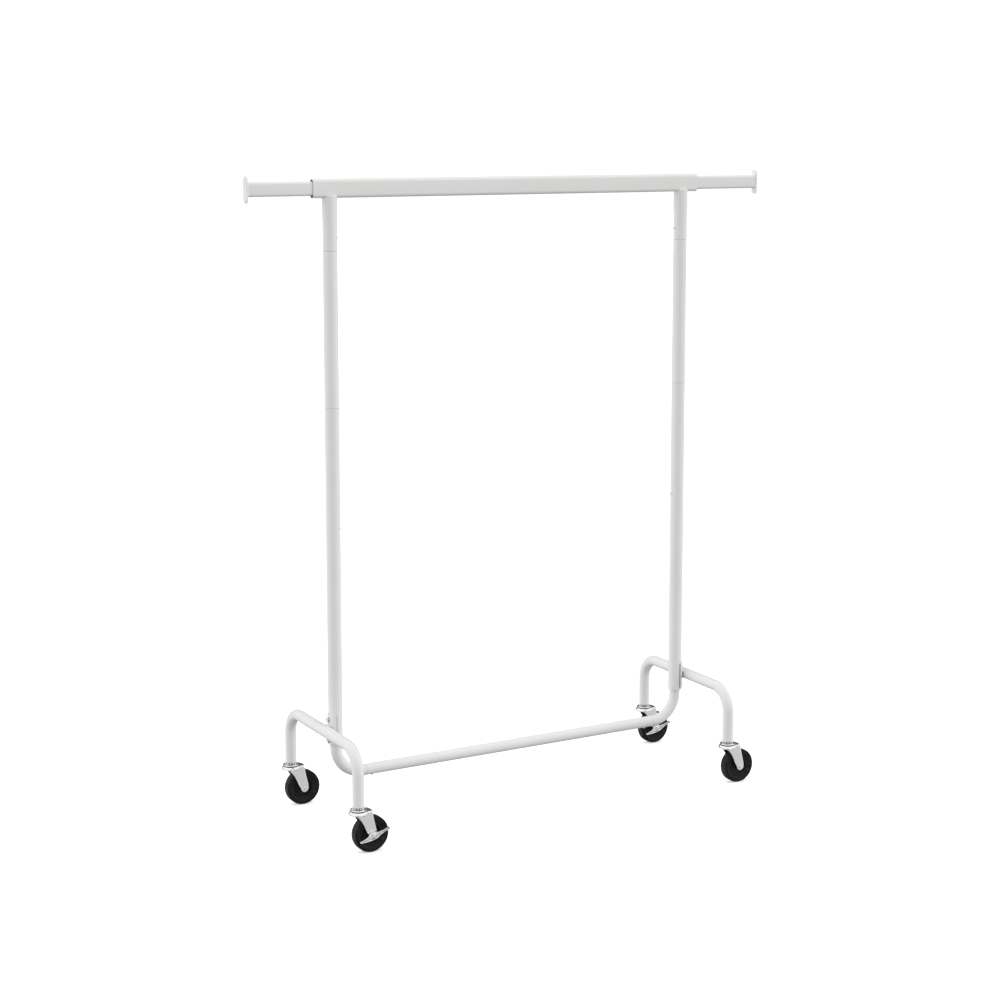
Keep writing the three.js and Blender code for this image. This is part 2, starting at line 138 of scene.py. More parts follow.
AXES = {"x": ((1, 0, 0), (0, 1, 0), (0, 0, 1)), "-x": ((-1, 0, 0), (0, 1, 0), (0, 0, -1)),
        "y": ((0, 1, 0), (0, 0, 1), (1, 0, 0)), "-y": ((0, -1, 0), (1, 0, 0), (0, 0, 1)),
        "z": ((0, 0, 1), (1, 0, 0), (0, 1, 0)), "-z": ((0, 0, -1), (0, 1, 0), (1, 0, 0))}


class Geo:
    """Vertices in millimetres and faces, added to piece by piece."""

    def __init__(self):
        self.v, self.f, self.n = [], [], 0

    def add(self, v, f):
        self.v.append(np.asarray(v, float))
        self.f += [tuple(i + self.n for i in q) for q in f]
        self.n += len(v)
        return self

    def skin(self, rings, close=False, cap0=None, cap1=None):
        """Quads between rings of equal length; caps are None, "flat" or a pole point."""
        rings = spaced(rings, close)
        n, m = len(rings[0]), len(rings)
        v = np.vstack(rings)
        f = []
        for i in range(m if close else m - 1):
            a, b = i * n, ((i + 1) % m) * n
            for j in range(n):
                k = (j + 1) % n
                f.append((a + j, a + k, b + k, b + j))
        extra, cnt = [], m * n
        for cap, base, flip in ((cap0, 0, True), (cap1, (m - 1) * n, False)):
            if cap is None or close:
                continue
            if isinstance(cap, str):
                q = tuple(base + j for j in range(n))
                f.append(q[::-1] if flip else q)
            else:
                extra.append(cap)
                for j in range(n):
                    k = (j + 1) % n
                    f.append((base + k, base + j, cnt) if flip else (base + j, base + k, cnt))
                cnt += 1
        if extra:
            v = np.vstack([v, np.array(extra, float)])
        return self.add(v, f)

    def lathe(self, profile, origin=(0, 0, 0), axis="z", n=64, closed=False, turn=0.0):
        """profile is [(radius, height)] about the axis."""
        A, N, B = (np.array(q, float) for q in AXES[axis])
        o = np.array(origin, float)
        prof = [(float(r), float(h)) for r, h in profile]
        cap0 = cap1 = None
        if not closed:
            if prof[0][0] < 1e-6:
                cap0 = o + A * prof[0][1]
                prof = prof[1:]
            if prof[-1][0] < 1e-6:
                cap1 = o + A * prof[-1][1]
                prof = prof[:-1]
        c = circ(1.0, n, turn)
        rings = [o + A * h + r * (c[:, :1] * N + c[:, 1:] * B) for r, h in prof]
        return self.skin(rings, closed, cap0, cap1)

    def prism(self, sections, origin=(0, 0, 0), axis="x", close=False, cap0=None, cap1=None):
        """sections is [(2-D outline, height)] along the axis."""
        A, N, B = (np.array(q, float) for q in AXES[axis])
        o = np.array(origin, float)
        rings = [o + A * h + s[:, :1] * N + s[:, 1:] * B for s, h in sections]
        return self.skin(rings, close, cap0, cap1)

    def sheet(self, grid, t, toward, wrap=False):
        """A thick sheet: grid is (m, n, 3) on the face that looks towards `toward`, t its thickness behind that."""
        G = np.asarray(grid, float)
        du = np.gradient(G, axis=0)
        if wrap:
            dv = (np.roll(G, -1, axis=1) - np.roll(G, 1, axis=1)) / 2
        else:
            dv = np.gradient(G, axis=1)
        nn = np.cross(du, dv)
        nn /= np.linalg.norm(nn, axis=2, keepdims=True) + 1e-12
        hint = toward(G) if callable(toward) else np.array(toward, float)
        if (nn * hint).sum() < 0:
            nn = -nn
        H = G - nn * t
        m, n = G.shape[:2]
        v = np.vstack([G.reshape(-1, 3), H.reshape(-1, 3)])
        k, f = m * n, []
        cols = n if wrap else n - 1
        for i in range(m - 1):
            for j in range(cols):
                j2 = (j + 1) % n
                a, b, c, d = i * n + j, i * n + j2, (i + 1) * n + j2, (i + 1) * n + j
                f.append((a, b, c, d))
                f.append((k + d, k + c, k + b, k + a))
        for j in range(cols):
            j2 = (j + 1) % n
            f.append((j2, j, k + j, k + j2))
            a, b = (m - 1) * n + j, (m - 1) * n + j2
            f.append((a, b, k + b, k + a))
        if not wrap:
            for i in range(m - 1):
                a, b = i * n, (i + 1) * n
                f.append((a, b, k + b, k + a))
                a, b = i * n + n - 1, (i + 1) * n + n - 1
                f.append((b, a, k + a, k + b))
        return self.add(v, f)

    def moved(self, M=None, shift=(0, 0, 0)):
        g = Geo()
        for v in self.v:
            w = v if M is None else v @ np.asarray(M, float).T
            g.v.append(w + np.array(shift, float))
        g.f, g.n = list(self.f), self.n
        return g


def to_bmesh(geo):
    bm = bmesh.new()
    vs = [bm.verts.new(p) for p in np.vstack(geo.v)]
    for q in geo.f:
        if len(set(q)) >= 3:
            try:
                bm.faces.new([vs[i] for i in q])
            except ValueError:
                pass
    bmesh.ops.remove_doubles(bm, verts=bm.verts, dist=1e-4)
    bmesh.ops.recalc_face_normals(bm, faces=bm.faces)
    return bm


def from_mesh(me):
    g = Geo()
    g.add([tuple(v.co) for v in me.vertices], [tuple(p.vertices) for p in me.polygons])
    return g


def boolean(a, b, op="DIFFERENCE"):
    """a op b, both Geo in millimetres, through Blender's exact solver."""
    obs = []
    for g in (a, b):
        me = bpy.data.meshes.new("tmp")
        bm = to_bmesh(g)
        bm.to_mesh(me)
        bm.free()
        ob = bpy.data.objects.new("tmp", me)
        bpy.context.collection.objects.link(ob)
        obs.append(ob)
    mod = obs[0].modifiers.new("cut", "BOOLEAN")
    mod.operation, mod.solver, mod.object = op, "EXACT", obs[1]
    dg = bpy.context.evaluated_depsgraph_get()
    res = bpy.data.meshes.new_from_object(obs[0].evaluated_get(dg))
    out = from_mesh(res)
    bpy.data.meshes.remove(res)
    for ob in obs:
        me = ob.data
        bpy.data.objects.remove(ob)
        bpy.data.meshes.remove(me)
    return out


def piece(name, geo, slot, body, nodes=(), mat=None, sharp=32, bevel=0.0, angle=40, wear=0.0):
    """Makes the object in the row frame, in metres, and rides it on its body."""
    bm = to_bmesh(geo)
    me = bpy.data.meshes.new(name)
    bm.to_mesh(me)
    bm.free()
    me.transform(Matrix.Translation(Vector((OX, OY, 0))) @ Matrix.Scale(MM, 4))
    ob = bpy.data.objects.new(name, me)
    bpy.context.collection.objects.link(ob)
    me.polygons.foreach_set("use_smooth", [True] * len(me.polygons))
    me.set_sharp_from_angle(angle=math.radians(sharp))
    me.materials.append(mat or MATS[slot])
    if bevel:
        b = ob.modifiers.new("edge", "BEVEL")
        b.width, b.segments, b.limit_method = bevel * MM, 2, "ANGLE"
        b.angle_limit = math.radians(angle)
        b.harden_normals = False
        b.use_clamp_overlap = True
    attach(ob, body)
    if nodes:
        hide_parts(*nodes)
    return ob


# ------------------------------------------------------------------ materials
class Nodes:
    def __init__(self, name):
        self.mat = bpy.data.materials.new(name)
        self.mat.use_nodes = True
        self.t = self.mat.node_tree
        self.t.nodes.clear()
        self.out = self.new("ShaderNodeOutputMaterial")
        self.bsdf = self.new("ShaderNodeBsdfPrincipled")
        self.link(self.bsdf.outputs[0], self.out.inputs["Surface"])
        tc = self.new("ShaderNodeTexCoord")
        self.co = tc.outputs["Object"]

    def new(self, kind, **kw):
        n = self.t.nodes.new(kind)
        for k, v in kw.items():
            setattr(n, k, v)
        return n

    def link(self, a, b):
        self.t.links.new(a, b)

    def noise(self, scale, detail=3.0, rough=0.5, stretch=None, distort=0.0):
        n = self.new("ShaderNodeTexNoise")
        n.inputs["Scale"].default_value = scale
        n.inputs["Detail"].default_value = detail
        n.inputs["Roughness"].default_value = rough
        n.inputs["Distortion"].default_value = distort
        if stretch:
            m = self.new("ShaderNodeMapping")
            m.inputs["Scale"].default_value = stretch
            self.link(self.co, m.inputs["Vector"])
            self.link(m.outputs[0], n.inputs["Vector"])
        else:
            self.link(self.co, n.inputs["Vector"])
        return n.outputs["Fac"]

    def voronoi(self, scale, feature="F1"):
        n = self.new("ShaderNodeTexVoronoi", feature=feature)
        n.inputs["Scale"].default_value = scale
        self.link(self.co, n.inputs["Vector"])
        return n.outputs["Distance"]

    def ramp(self, value, lo, hi, a=0.0, b=1.0):
        m = self.new("ShaderNodeMapRange")
        m.clamp = True
        for k, v in (("From Min", lo), ("From Max", hi), ("To Min", a), ("To Max", b)):
            m.inputs[k].default_value = v
        self.link(value, m.inputs["Value"])
        return m.outputs[0]

    def math(self, op, a, b=None):
        m = self.new("ShaderNodeMath", operation=op)
        for i, v in enumerate((a, b)):
            if v is None:
                continue
            if isinstance(v, (int, float)):
                m.inputs[i].default_value = v
            else:
                self.link(v, m.inputs[i])
        return m.outputs[0]

    def mix(self, fac, a, b):
        m = self.new("ShaderNodeMix", data_type="RGBA")
        self.link(fac, m.inputs[0])
        for sock, v in ((m.inputs[6], a), (m.inputs[7], b)):
            if isinstance(v, (tuple, list)):
                sock.default_value = (*v[:3], 1.0)
            else:
                self.link(v, sock)
        return m.outputs[2]

    def bump(self, height, strength, distance, under=None):
        b = self.new("ShaderNodeBump")
        b.inputs["Strength"].default_value = strength
        b.inputs["Distance"].default_value = distance
        self.link(height, b.inputs["Height"])
        if under is not None:
            self.link(under, b.inputs["Normal"])
        return b.outputs[0]

    def edges(self, lo, hi):
        g = self.new("ShaderNodeNewGeometry")
        return self.ramp(g.outputs["Pointiness"], lo, hi)

    def put(self, **kw):
        for k, v in kw.items():
            s = self.bsdf.inputs[k.replace("_", " ")]
            if isinstance(v, (int, float)):
                s.default_value = v
            elif isinstance(v, (tuple, list)):
                s.default_value = (*v[:3], 1.0)
            else:
                self.link(v, s)
        return self.mat


def powder_coat(name, base, rough=0.36, peel=1.0):
    """Baked powder paint: orange-peel skin, faint pooling tint, small specks, a painted highlight on convex edges and
    painted shade in concave creases.
    """
    k = Nodes(name)
    warm = tuple(c * f for c, f in zip(base, (0.985, 0.98, 0.962)))
    cool = tuple(c * f for c, f in zip(base, (0.982, 0.99, 1.0)))
    col = k.mix(k.ramp(k.noise(5.5, 3), 0.35, 0.68), base, warm)
    col = k.mix(k.ramp(k.noise(23, 2), 0.45, 0.8, 0.0, 0.6), col, cool)
    speck = k.ramp(k.voronoi(420), 0.0, 0.055, 0.22, 0.0)
    col = k.mix(speck, col, tuple(c * 0.72 for c in base))
    # lighter on convex edges: painted highlight
    col = k.mix(k.edges(0.53, 0.62), col, tuple(min(1, c * 1.03) for c in base))
    # darker in concave creases: painted shade
    crease_shade = k.math("MULTIPLY", k.edges(0.485, 0.43), 0.5)
    col = k.mix(crease_shade, col, tuple(c * f for c, f in zip(base, (0.80, 0.795, 0.78))))
    r = k.ramp(k.noise(140, 4, 0.6), 0.3, 0.75, rough - 0.05, rough + 0.08)
    n1 = k.bump(k.noise(620, 2, 0.45), 0.10 * peel, 0.00018)
    n2 = k.bump(k.noise(150, 2, 0.4), 0.10 * peel, 0.00045, n1)
    return k.put(Base_Color=col, Roughness=r, Normal=n2, Specular_IOR_Level=0.42, Coat_Weight=0.12, Coat_Roughness=0.22)


def plated(name, base, rough=0.2, scratch=1.0, tint=0.35):
    """Bright zinc plate: soft blotches of blue and straw, drawing lines, painted shade in concave creases."""
    k = Nodes(name)
    blue = tuple(c * f for c, f in zip(base, (0.95, 0.98, 1.02)))
    straw = tuple(c * f for c, f in zip(base, (1.03, 0.99, 0.90)))
    col = k.mix(k.ramp(k.noise(38, 3), 0.35, 0.65, 0, tint), base, blue)
    col = k.mix(k.ramp(k.noise(61, 2, distort=0.6), 0.5, 0.75, 0, tint), col, straw)
    dirt = k.ramp(k.noise(260, 4, 0.7), 0.64, 0.82, 0.0, 0.14)
    col = k.mix(dirt, col, tuple(c * 0.55 for c in base))
    # darker in concave creases: painted shade
    col = k.mix(k.edges(0.49, 0.42), col, tuple(c * 0.38 for c in base))
    r = k.ramp(k.noise(110, 4, 0.65), 0.3, 0.72, rough - 0.05, rough + 0.10)
    lines = k.noise(300, 3, 0.7, stretch=(1.0, 1.0, 9.0))
    n1 = k.bump(lines, 0.05 * scratch, 0.00010)
    n2 = k.bump(k.noise(90, 3, 0.5), 0.06, 0.0004, n1)
    return k.put(Base_Color=col, Metallic=1.0, Roughness=r, Normal=n2)


def moulded(name, base, rough=0.45, grain=1.0, dust=0.0):
    """Moulded plastic with spark-eroded grain and flow variation."""
    k = Nodes(name)
    lift = tuple(min(1.0, c * 1.12 + 0.004) for c in base)
    col = k.mix(k.ramp(k.noise(30, 3), 0.4, 0.7), base, lift)
    if dust:
        col = k.mix(k.ramp(k.noise(75, 5, 0.7), 0.55, 0.85, 0, dust), col, (0.16, 0.155, 0.145))
    # lighter on convex edges: painted highlight
    col = k.mix(k.edges(0.53, 0.64), col, tuple(min(1.0, c * 1.25 + 0.01) for c in base))
    r = k.ramp(k.noise(210, 3), 0.3, 0.7, rough - 0.06, rough + 0.09)
    n = k.bump(k.noise(1500, 2, 0.5), 0.22 * grain, 0.00012)
    n = k.bump(k.noise(60, 2, 0.4), 0.10, 0.0006, n)
    return k.put(Base_Color=col, Roughness=r, Normal=n, Specular_IOR_Level=0.45)


def rubber(name):
    """Hard black tread rubber: fine pitting, scuffed running band, pale dust in the recesses."""
    k = Nodes(name)
    base = (0.0052, 0.0052, 0.0055)
    col = k.mix(k.ramp(k.noise(45, 4, 0.6), 0.4, 0.72), base, (0.0105, 0.0105, 0.0108))
    scuff = k.ramp(k.noise(190, 4, 0.7, stretch=(1, 0.25, 1)), 0.52, 0.78, 0.0, 0.55)
    col = k.mix(scuff, col, (0.019, 0.0185, 0.018))
    # lighter on convex edges: painted highlight on the ring and rim edges
    col = k.mix(k.edges(0.515, 0.60), col, (0.040, 0.039, 0.038))
    fluff = k.ramp(k.noise(88, 5, 0.7), 0.6, 0.85, 0, 0.25)
    col = k.mix(fluff, col, (0.040, 0.039, 0.037))
    r = k.ramp(k.noise(240, 4, 0.6), 0.3, 0.75, 0.36, 0.56)
    n = k.bump(k.noise(900, 3, 0.6), 0.30, 0.00016)
    n = k.bump(k.noise(120, 2), 0.14, 0.0006, n)
    return k.put(Base_Color=col, Roughness=r, Normal=n, Specular_IOR_Level=0.22)


WHITE = (0.797, 0.797, 0.796)
MATS = {
    "white_paint": powder_coat("white_paint", WHITE),
    "white_plastic": moulded("white_plastic", (0.79, 0.79, 0.785), 0.40, 0.5),
    "black_plastic": moulded("black_plastic", (0.018, 0.018, 0.018), 0.42, 1.0, 0.1),
    "bright_zinc": plated("bright_zinc", (0.84, 0.84, 0.845), 0.15),
    "plain_steel": plated("plain_steel", (0.60, 0.60, 0.60), 0.30, 2.0, 0.15),
    "wheel_rubber": rubber("wheel_rubber"),
}
WELD = powder_coat("white_paint_weld", tuple(c * 0.985 for c in WHITE), 0.40, 2.2)


# ------------------------------------------------------------------ paths
def round_path(corners, radius, steps=14):
    """Points and tangents along a polyline with rounded corners."""
    C = [np.array(c, float) for c in corners]
    u = lambda q: q / np.linalg.norm(q)
    P, T = [C[0]], [u(C[1] - C[0])]
    for i in range(1, len(C) - 1):
        d0, d1 = u(C[i] - C[i - 1]), u(C[i + 1] - C[i])
        ang = math.acos(float(d0 @ d1))
        s = C[i] - d0 * radius * math.tan(ang / 2)
        side = u(d1 - d0 * float(d0 @ d1))
        o = s + side * radius
        for k in range(steps + 1):
            a = ang * k / steps
            P.append(o - side * radius * math.cos(a) + d0 * radius * math.sin(a))
            T.append(d0 * math.cos(a) + side * math.sin(a))
    P.append(C[-1])
    T.append(u(C[-1] - C[-2]))
    return P, T


def swept(P, T, plane, prof, n=48):
    """A tube that follows a planar path. prof is [(radius, station, along)]: station indexes the path and along is mm past it."""
    N = np.array(plane, float)
    c = circ(1.0, n)
    rings = []
    for r, i, s in prof:
        B = np.cross(T[i], N)
        rings.append(P[i] + T[i] * s + r * (c[:, :1] * N + c[:, 1:] * B))
    return rings


def hollow_tube(P, T, plane, R, wall, n=48):
    m = len(P) - 1
    prof = [(R, 0, 0.7)] + [(R, i, 0) for i in range(1, m)] + [(R, m, -0.7), (R - 0.12, m, -0.25), (R - 0.5, m, 0)]
    prof += [(R - wall + 0.3, m, 0), (R - wall, m, -0.4)] + [(R - wall, i, 0) for i in range(m - 1, 0, -1)]
    prof += [(R - wall, 0, 0.4), (R - wall + 0.3, 0, 0), (R - 0.5, 0, 0), (R - 0.12, 0, 0.25)]
    return Geo().skin(swept(P, T, plane, prof, n), close=True)


def tube_profile(R, wall, z0, z1, f=0.6):
    r = R - wall
    return [(R, z0 + f), (R, z1 - f), (R - 0.12, z1 - f * 0.35), (R - 0.45, z1), (r + 0.3, z1), (r, z1 - 0.35),
            (r, z0 + 0.35), (r + 0.3, z0), (R - 0.45, z0), (R - 0.12, z0 + f * 0.35)]


def bead(points, r, closed=False, n=12, rough=0.16, seed=1):
    """A weld bead: a lumpy round string along points."""
    P = np.array(points, float)
    m = len(P)
    if closed:
        T = np.roll(P, -1, 0) - np.roll(P, 1, 0)
    else:
        T = np.gradient(P, axis=0)
    T /= np.linalg.norm(T, axis=1, keepdims=True)
    rs = np.random.RandomState(seed)
    ph = rs.rand(3) * 6.28
    arc = np.r_[0, np.cumsum(np.linalg.norm(np.diff(P, axis=0), axis=1))]
    rings = []
    ref = np.array([0.31, 0.42, 0.85])
    for i in range(m):
        N = np.cross(T[i], ref)
        N /= np.linalg.norm(N)
        B = np.cross(T[i], N)
        k = 1 + rough * (0.6 * math.sin(arc[i] * 2.6 + ph[0]) + 0.4 * math.sin(arc[i] * 5.3 + ph[1]))
        if not closed:
            k *= min(1.0, 0.25 + min(i, m - 1 - i) / 3.0)
        c = circ(r * k, n)
        rings.append(P[i] + c[:, :1] * N + c[:, 1:] * B)
    if closed:
        return Geo().skin(rings, close=True)
    return Geo().skin(rings, cap0=P[0] - T[0] * r * 0.3, cap1=P[-1] + T[-1] * r * 0.3)


# ------------------------------------------------------------------ hanging rail
def flat_tube(w, h, r, wall, x0, x1):
    def sec(inset):
        return rrect(w - 2 * inset, h - 2 * inset, r - inset, 9)
    S = [(0, x0 + 0.7), (0, x1 - 0.7), (0.12, x1 - 0.25), (0.5, x1), (wall - 0.3, x1), (wall, x1 - 0.35),
         (wall, x0 + 0.35), (wall - 0.3, x0), (0.5, x0), (0.12, x0 + 0.25)]
    return Geo().prism([(sec(i), x) for i, x in S], (0, 0, RAIL_Z), "x", close=True)


piece("rail_tube", flat_tube(RAIL_D, RAIL_H, RAIL_R, 1.2, -RAIL_HALF, RAIL_HALF), "white_paint", "rack_frame", ["rail_outer_tube"])

for side, s in SIDES:
    # bushing: sleeve just inside the rail end, its mouth chamfered to lead the rod in
    def sec(w, h, r):
        return rrect(w, h, r, 9)
    e = RAIL_HALF - 0.85
    S = [(sec(16.9, 41.9, 7.0), e - 23), (sec(16.9, 41.9, 7.0), e - 0.5), (sec(16.6, 41.6, 6.9), e - 0.12), (sec(16.2, 41.2, 6.8), e),
         (sec(15.9, 35.6, 6.9), e), (sec(15.5, 35.0, 6.8), e - 0.3), (sec(15.2, 34.6, 6.6), e - 0.9), (sec(15.2, 34.6, 6.6), e - 22.5), (sec(15.6, 35.0, 6.7), e - 23)]
    piece(f"bushing_{side}", Geo().prism(S, (0, 0, RAIL_Z), "x" if s > 0 else "-x", close=True), "black_plastic", "rack_frame",
          [f"rail_bushing_{side}"])

    body = f"rod_{side}"
    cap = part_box(f"end_cap_{side}")
    cap_out = (cap[0][0] if s < 0 else cap[1][0])
    cap_out = (cap_out - OX) / MM
    rod_end = cap_out - s * 4.3
    x0, x1 = sorted((rod_end, rod_end - s * 520))
    piece(f"rod_{side}", flat_tube(14.6, 34, 6.3, 1.2, x0, x1), "white_paint", body, [f"extension_rod_{side}"])

    # end cap: pill plate with rounded rim, a very low crown and a collar round the rod
    def pill(i, k=0.0):
        return rrect(21 - 2 * i, 64 - 2 * i, 9.9 - i, 12)
    o = abs(cap_out)
    S = [(pill(4.5), o - 0.0), (pill(2.4), o - 0.08), (pill(1.2), o - 0.35), (pill(0.45), o - 0.85), (pill(0.08), o - 1.5), (pill(0.0), o - 2.2),
         (pill(0.15), o - 3.1), (pill(0.6), o - 3.75), (pill(1.3), o - 4.0), (rrect(17.4, 37.0, 7.6, 12), o - 4.0), (rrect(16.7, 36.2, 7.3, 12), o - 4.35),
         (rrect(16.3, 35.7, 7.1, 12), o - 5.6), (rrect(15.5, 34.9, 6.7, 12), o - 6.3), (rrect(14.8, 34.2, 6.4, 12), o - 6.4)]
    g = Geo().prism(S, (0, 0, RAIL_Z), "x" if s > 0 else "-x", cap0="flat", cap1="flat")
    piece(f"cap_{side}", g, "white_plastic", body, [f"end_cap_{side}"])

# ------------------------------------------------------------------ posts
POCKET = None


def pan_head(r=3.5, h=2.7, depth=1.6):
    """Pan head with a cross recess, seat at 0, pointing +Z."""
    prof = [(0.0, h)] + [(r * math.sin(t) * 0.98, h - (h - 1.3) * (1 - math.cos(t)) ** 1.25) for t in np.linspace(0.18, 1.4, 7)]
    prof += [(r, 0.95), (r, 0.35), (r - 0.25, 0.05), (1.9, 0.0), (1.9, -4.6), (1.4, -5.0), (0, -5.0)]
    head = Geo().lathe(prof, n=40)
    arm = lambda w, l: Geo().prism([(rrect(w, l, 0.3, 2), h - depth), (rrect(w * 1.55, l * 1.12, 0.4, 2), h + 1)], axis="z", cap0="flat", cap1="flat")
    return boolean(boolean(head, arm(0.95, 3.7)), arm(3.7, 0.95).moved(shift=(0, 0, 1e-3)))


def button_bolt(r=5.6, h=3.7, depth=2.0):
    """Button head bolt with a hexagon socket, seat at 0, pointing +Z."""
    prof = [(0.0, h)] + [(r * math.sin(t), 0.9 + (h - 0.9) * math.cos(t)) for t in np.linspace(0.16, 1.45, 9)]
    prof += [(r, 0.8), (r, 0.25), (r - 0.25, 0.0), (2.9, 0.0), (2.9, -17.5), (2.3, -18), (0, -18)]
    hexa = np.array([(2.05 / math.cos(math.pi / 6) * math.cos(a), 2.05 / math.cos(math.pi / 6) * math.sin(a)) for a in np.arange(6) * math.pi / 3])
    key = Geo().prism([(hexa * 0.97, h - depth), (hexa, h - depth + 0.3), (hexa, h - 0.35), (hexa * 1.18, h + 0.1), (hexa * 1.3, h + 1.5)], axis="z", cap0="flat", cap1="flat")
    return boolean(Geo().lathe(prof, n=48), key)


SCREW, BOLT = pan_head(), button_bolt()
TO_X = lambda s: np.array([[0, 0, s], [0, 1, 0], [-s, 0, 0]], float)      # +Z turned to s * X
TO_DOWN = np.array([[1, 0, 0], [0, -1, 0], [0, 0, -1]], float)
spin = lambda a: np.array([[math.cos(a), -math.sin(a), 0], [math.sin(a), math.cos(a), 0], [0, 0, 1]])


def rail_under(y):
    """Height of the rail's underside above its lowest line at that distance from the middle."""
    d = abs(y) - (RAIL_D / 2 - RAIL_R)
    return 0.0 if d <= 0 else RAIL_R - math.sqrt(max(RAIL_R ** 2 - min(d, RAIL_R) ** 2, 0))


def ear(x):
    """How far the post's lip climbs the rail's face there."""
    q = min(1.0, abs(x) / 13.6)
    return 6.6 * (1 - q ** 5) ** 0.4


for side, s in SIDES:
    px = s * POST_X
    n = 96
    ang = np.linspace(0, 2 * np.pi, n, endpoint=False)
    # stub: its top follows the rail's underside, and its lips climb both faces and close on them
    def top(a, r):
        x, y = r * math.cos(a), r * math.sin(a)
        if abs(y) > 10.0:
            edge = min(1.0, (abs(y) - 10.0) / 1.2)
            return RAIL_BOTTOM + 2.6 * (1 - edge) + (ear(x)) * edge
        return RAIL_BOTTOM + rail_under(y) - 0.25
    def ring(r, zf, yclamp=None, k=1.0):
        out = []
        for a in ang:
            x, y = r * math.cos(a), r * math.sin(a)
            if yclamp is not None and abs(POST_R * math.sin(a)) > 10.0:
                y = math.copysign(yclamp, y)
            out.append((px + x * k, y, zf(a)))
        return np.array(out)
    zt = {a: top(a, POST_R) for a in ang}
    z0 = SEAM_TOP + 0.15
    rings = [ring(POST_R, lambda a: z0 + 0.6), ring(POST_R, lambda a: RAIL_BOTTOM - 14), ring(POST_R, lambda a: zt[a] - 1.4),
             ring(POST_R - 0.15, lambda a: zt[a] - 0.7), ring(POST_R - 0.6, lambda a: zt[a] - 0.25), ring(POST_R - 1.3, lambda a: zt[a] - 0.1),
             ring(POST_IN - 0.6, lambda a: zt[a] - 0.1, 12.4), ring(POST_IN - 1.2, lambda a: zt[a] - 0.5, 10.15),
             ring(POST_IN - 1.2, lambda a: min(zt[a] - 1.5, RAIL_BOTTOM - 0.8), 10.15), ring(POST_IN, lambda a: RAIL_BOTTOM - 6),
             ring(POST_IN, lambda a: z0 + 0.35), ring(POST_IN + 0.3, lambda a: z0), ring(POST_R - 0.45, lambda a: z0), ring(POST_R - 0.12, lambda a: z0 + 0.2)]
    piece(f"stub_{side}", Geo().skin(rings, close=True), "white_paint", "rack_frame", [f"post_stub_{side}"], sharp=50)
    # weld line round the joint
    loop = []
    for a in np.linspace(0, 2 * np.pi, 150, endpoint=False):
        x, y = 17.1 * math.cos(a), 17.1 * math.sin(a)
        if abs(y) > 10.7:
            loop.append((px + x, math.copysign(11.0, y), RAIL_BOTTOM + ear(x) - 0.1))
        else:
            loop.append((px + x, y, RAIL_BOTTOM + rail_under(y) - 0.5))
    loop = np.array(loop)
    for _ in range(3):
        loop = (np.roll(loop, 1, 0) + 2 * loop + np.roll(loop, -1, 0)) / 4
    piece(f"weld_rail_{side}", bead(loop, 1.25, True, seed=3 + s), "white_paint", "rack_frame", mat=WELD)

    # upper post: tube with a swaged neck running up inside the stub
    zs, zn = SEAM_TOP - 0.15, SEAM_TOP + 68
    prof = [(POST_R, SEAM_MID + 0.75), (POST_R, zs - 1.6), (POST_R - 0.2, zs - 0.8), (POST_R - 0.9, zs - 0.15), (15.9, zs), (15.55, zs + 0.6),
            (15.55, zn - 2.5), (15.0, zn), (14.2, zn), (14.2, zs - 3), (15.2, zs - 6), (POST_IN, zs - 8),
            (POST_IN, SEAM_MID + 0.5), (POST_IN + 0.3, SEAM_MID + 0.15), (POST_R - 0.45, SEAM_MID + 0.15), (POST_R - 0.12, SEAM_MID + 0.35)]
    piece(f"post_upper_{side}", Geo().lathe(prof, (px, 0, 0), "z", 96, closed=True), "white_paint", "rack_frame", [f"upper_post_{side}"], sharp=50)
    piece(f"post_lower_{side}", Geo().lathe(tube_profile(POST_R, 1.5, POST_BOTTOM, SEAM_MID - 0.15), (px, 0, 0), "z", 96, closed=True),
          "white_paint", "rack_frame", [f"lower_post_{side}"], sharp=50)
    piece(f"reducer_{side}", Geo().lathe(tube_profile(15.7, 1.4, POST_BOTTOM + 0.8, 295), (px, 0, 0), "z", 64, closed=True),
          "white_paint", "rack_frame", [f"bend_reducer_{side}"], sharp=50)

    for k, (tag, z) in enumerate((("upper", 1451.0), ("middle", 748.0))):
        g = SCREW.moved(spin(0.4 + 0.5 * k + 0.7 * (s > 0))).moved(TO_X(-s), (px - s * (POST_R - 0.05), 0, z))
        piece(f"screw_{tag}_{side}", g, "bright_zinc", "rack_frame", [f"post_screw_{tag}_{side}"])
        ringp = [(3.9, -0.3), (4.5, 0.02), (4.2, 0.28), (3.6, 0.36), (2.4, 0.34), (2.4, -0.3)]
        piece(f"screw_seat_{tag}_{side}", Geo().lathe(ringp, (0, 0, 0), "z", 40, closed=True).moved(TO_X(-s), (px - s * (POST_R - 0.12), 0, z)),
              "white_paint", "rack_frame")

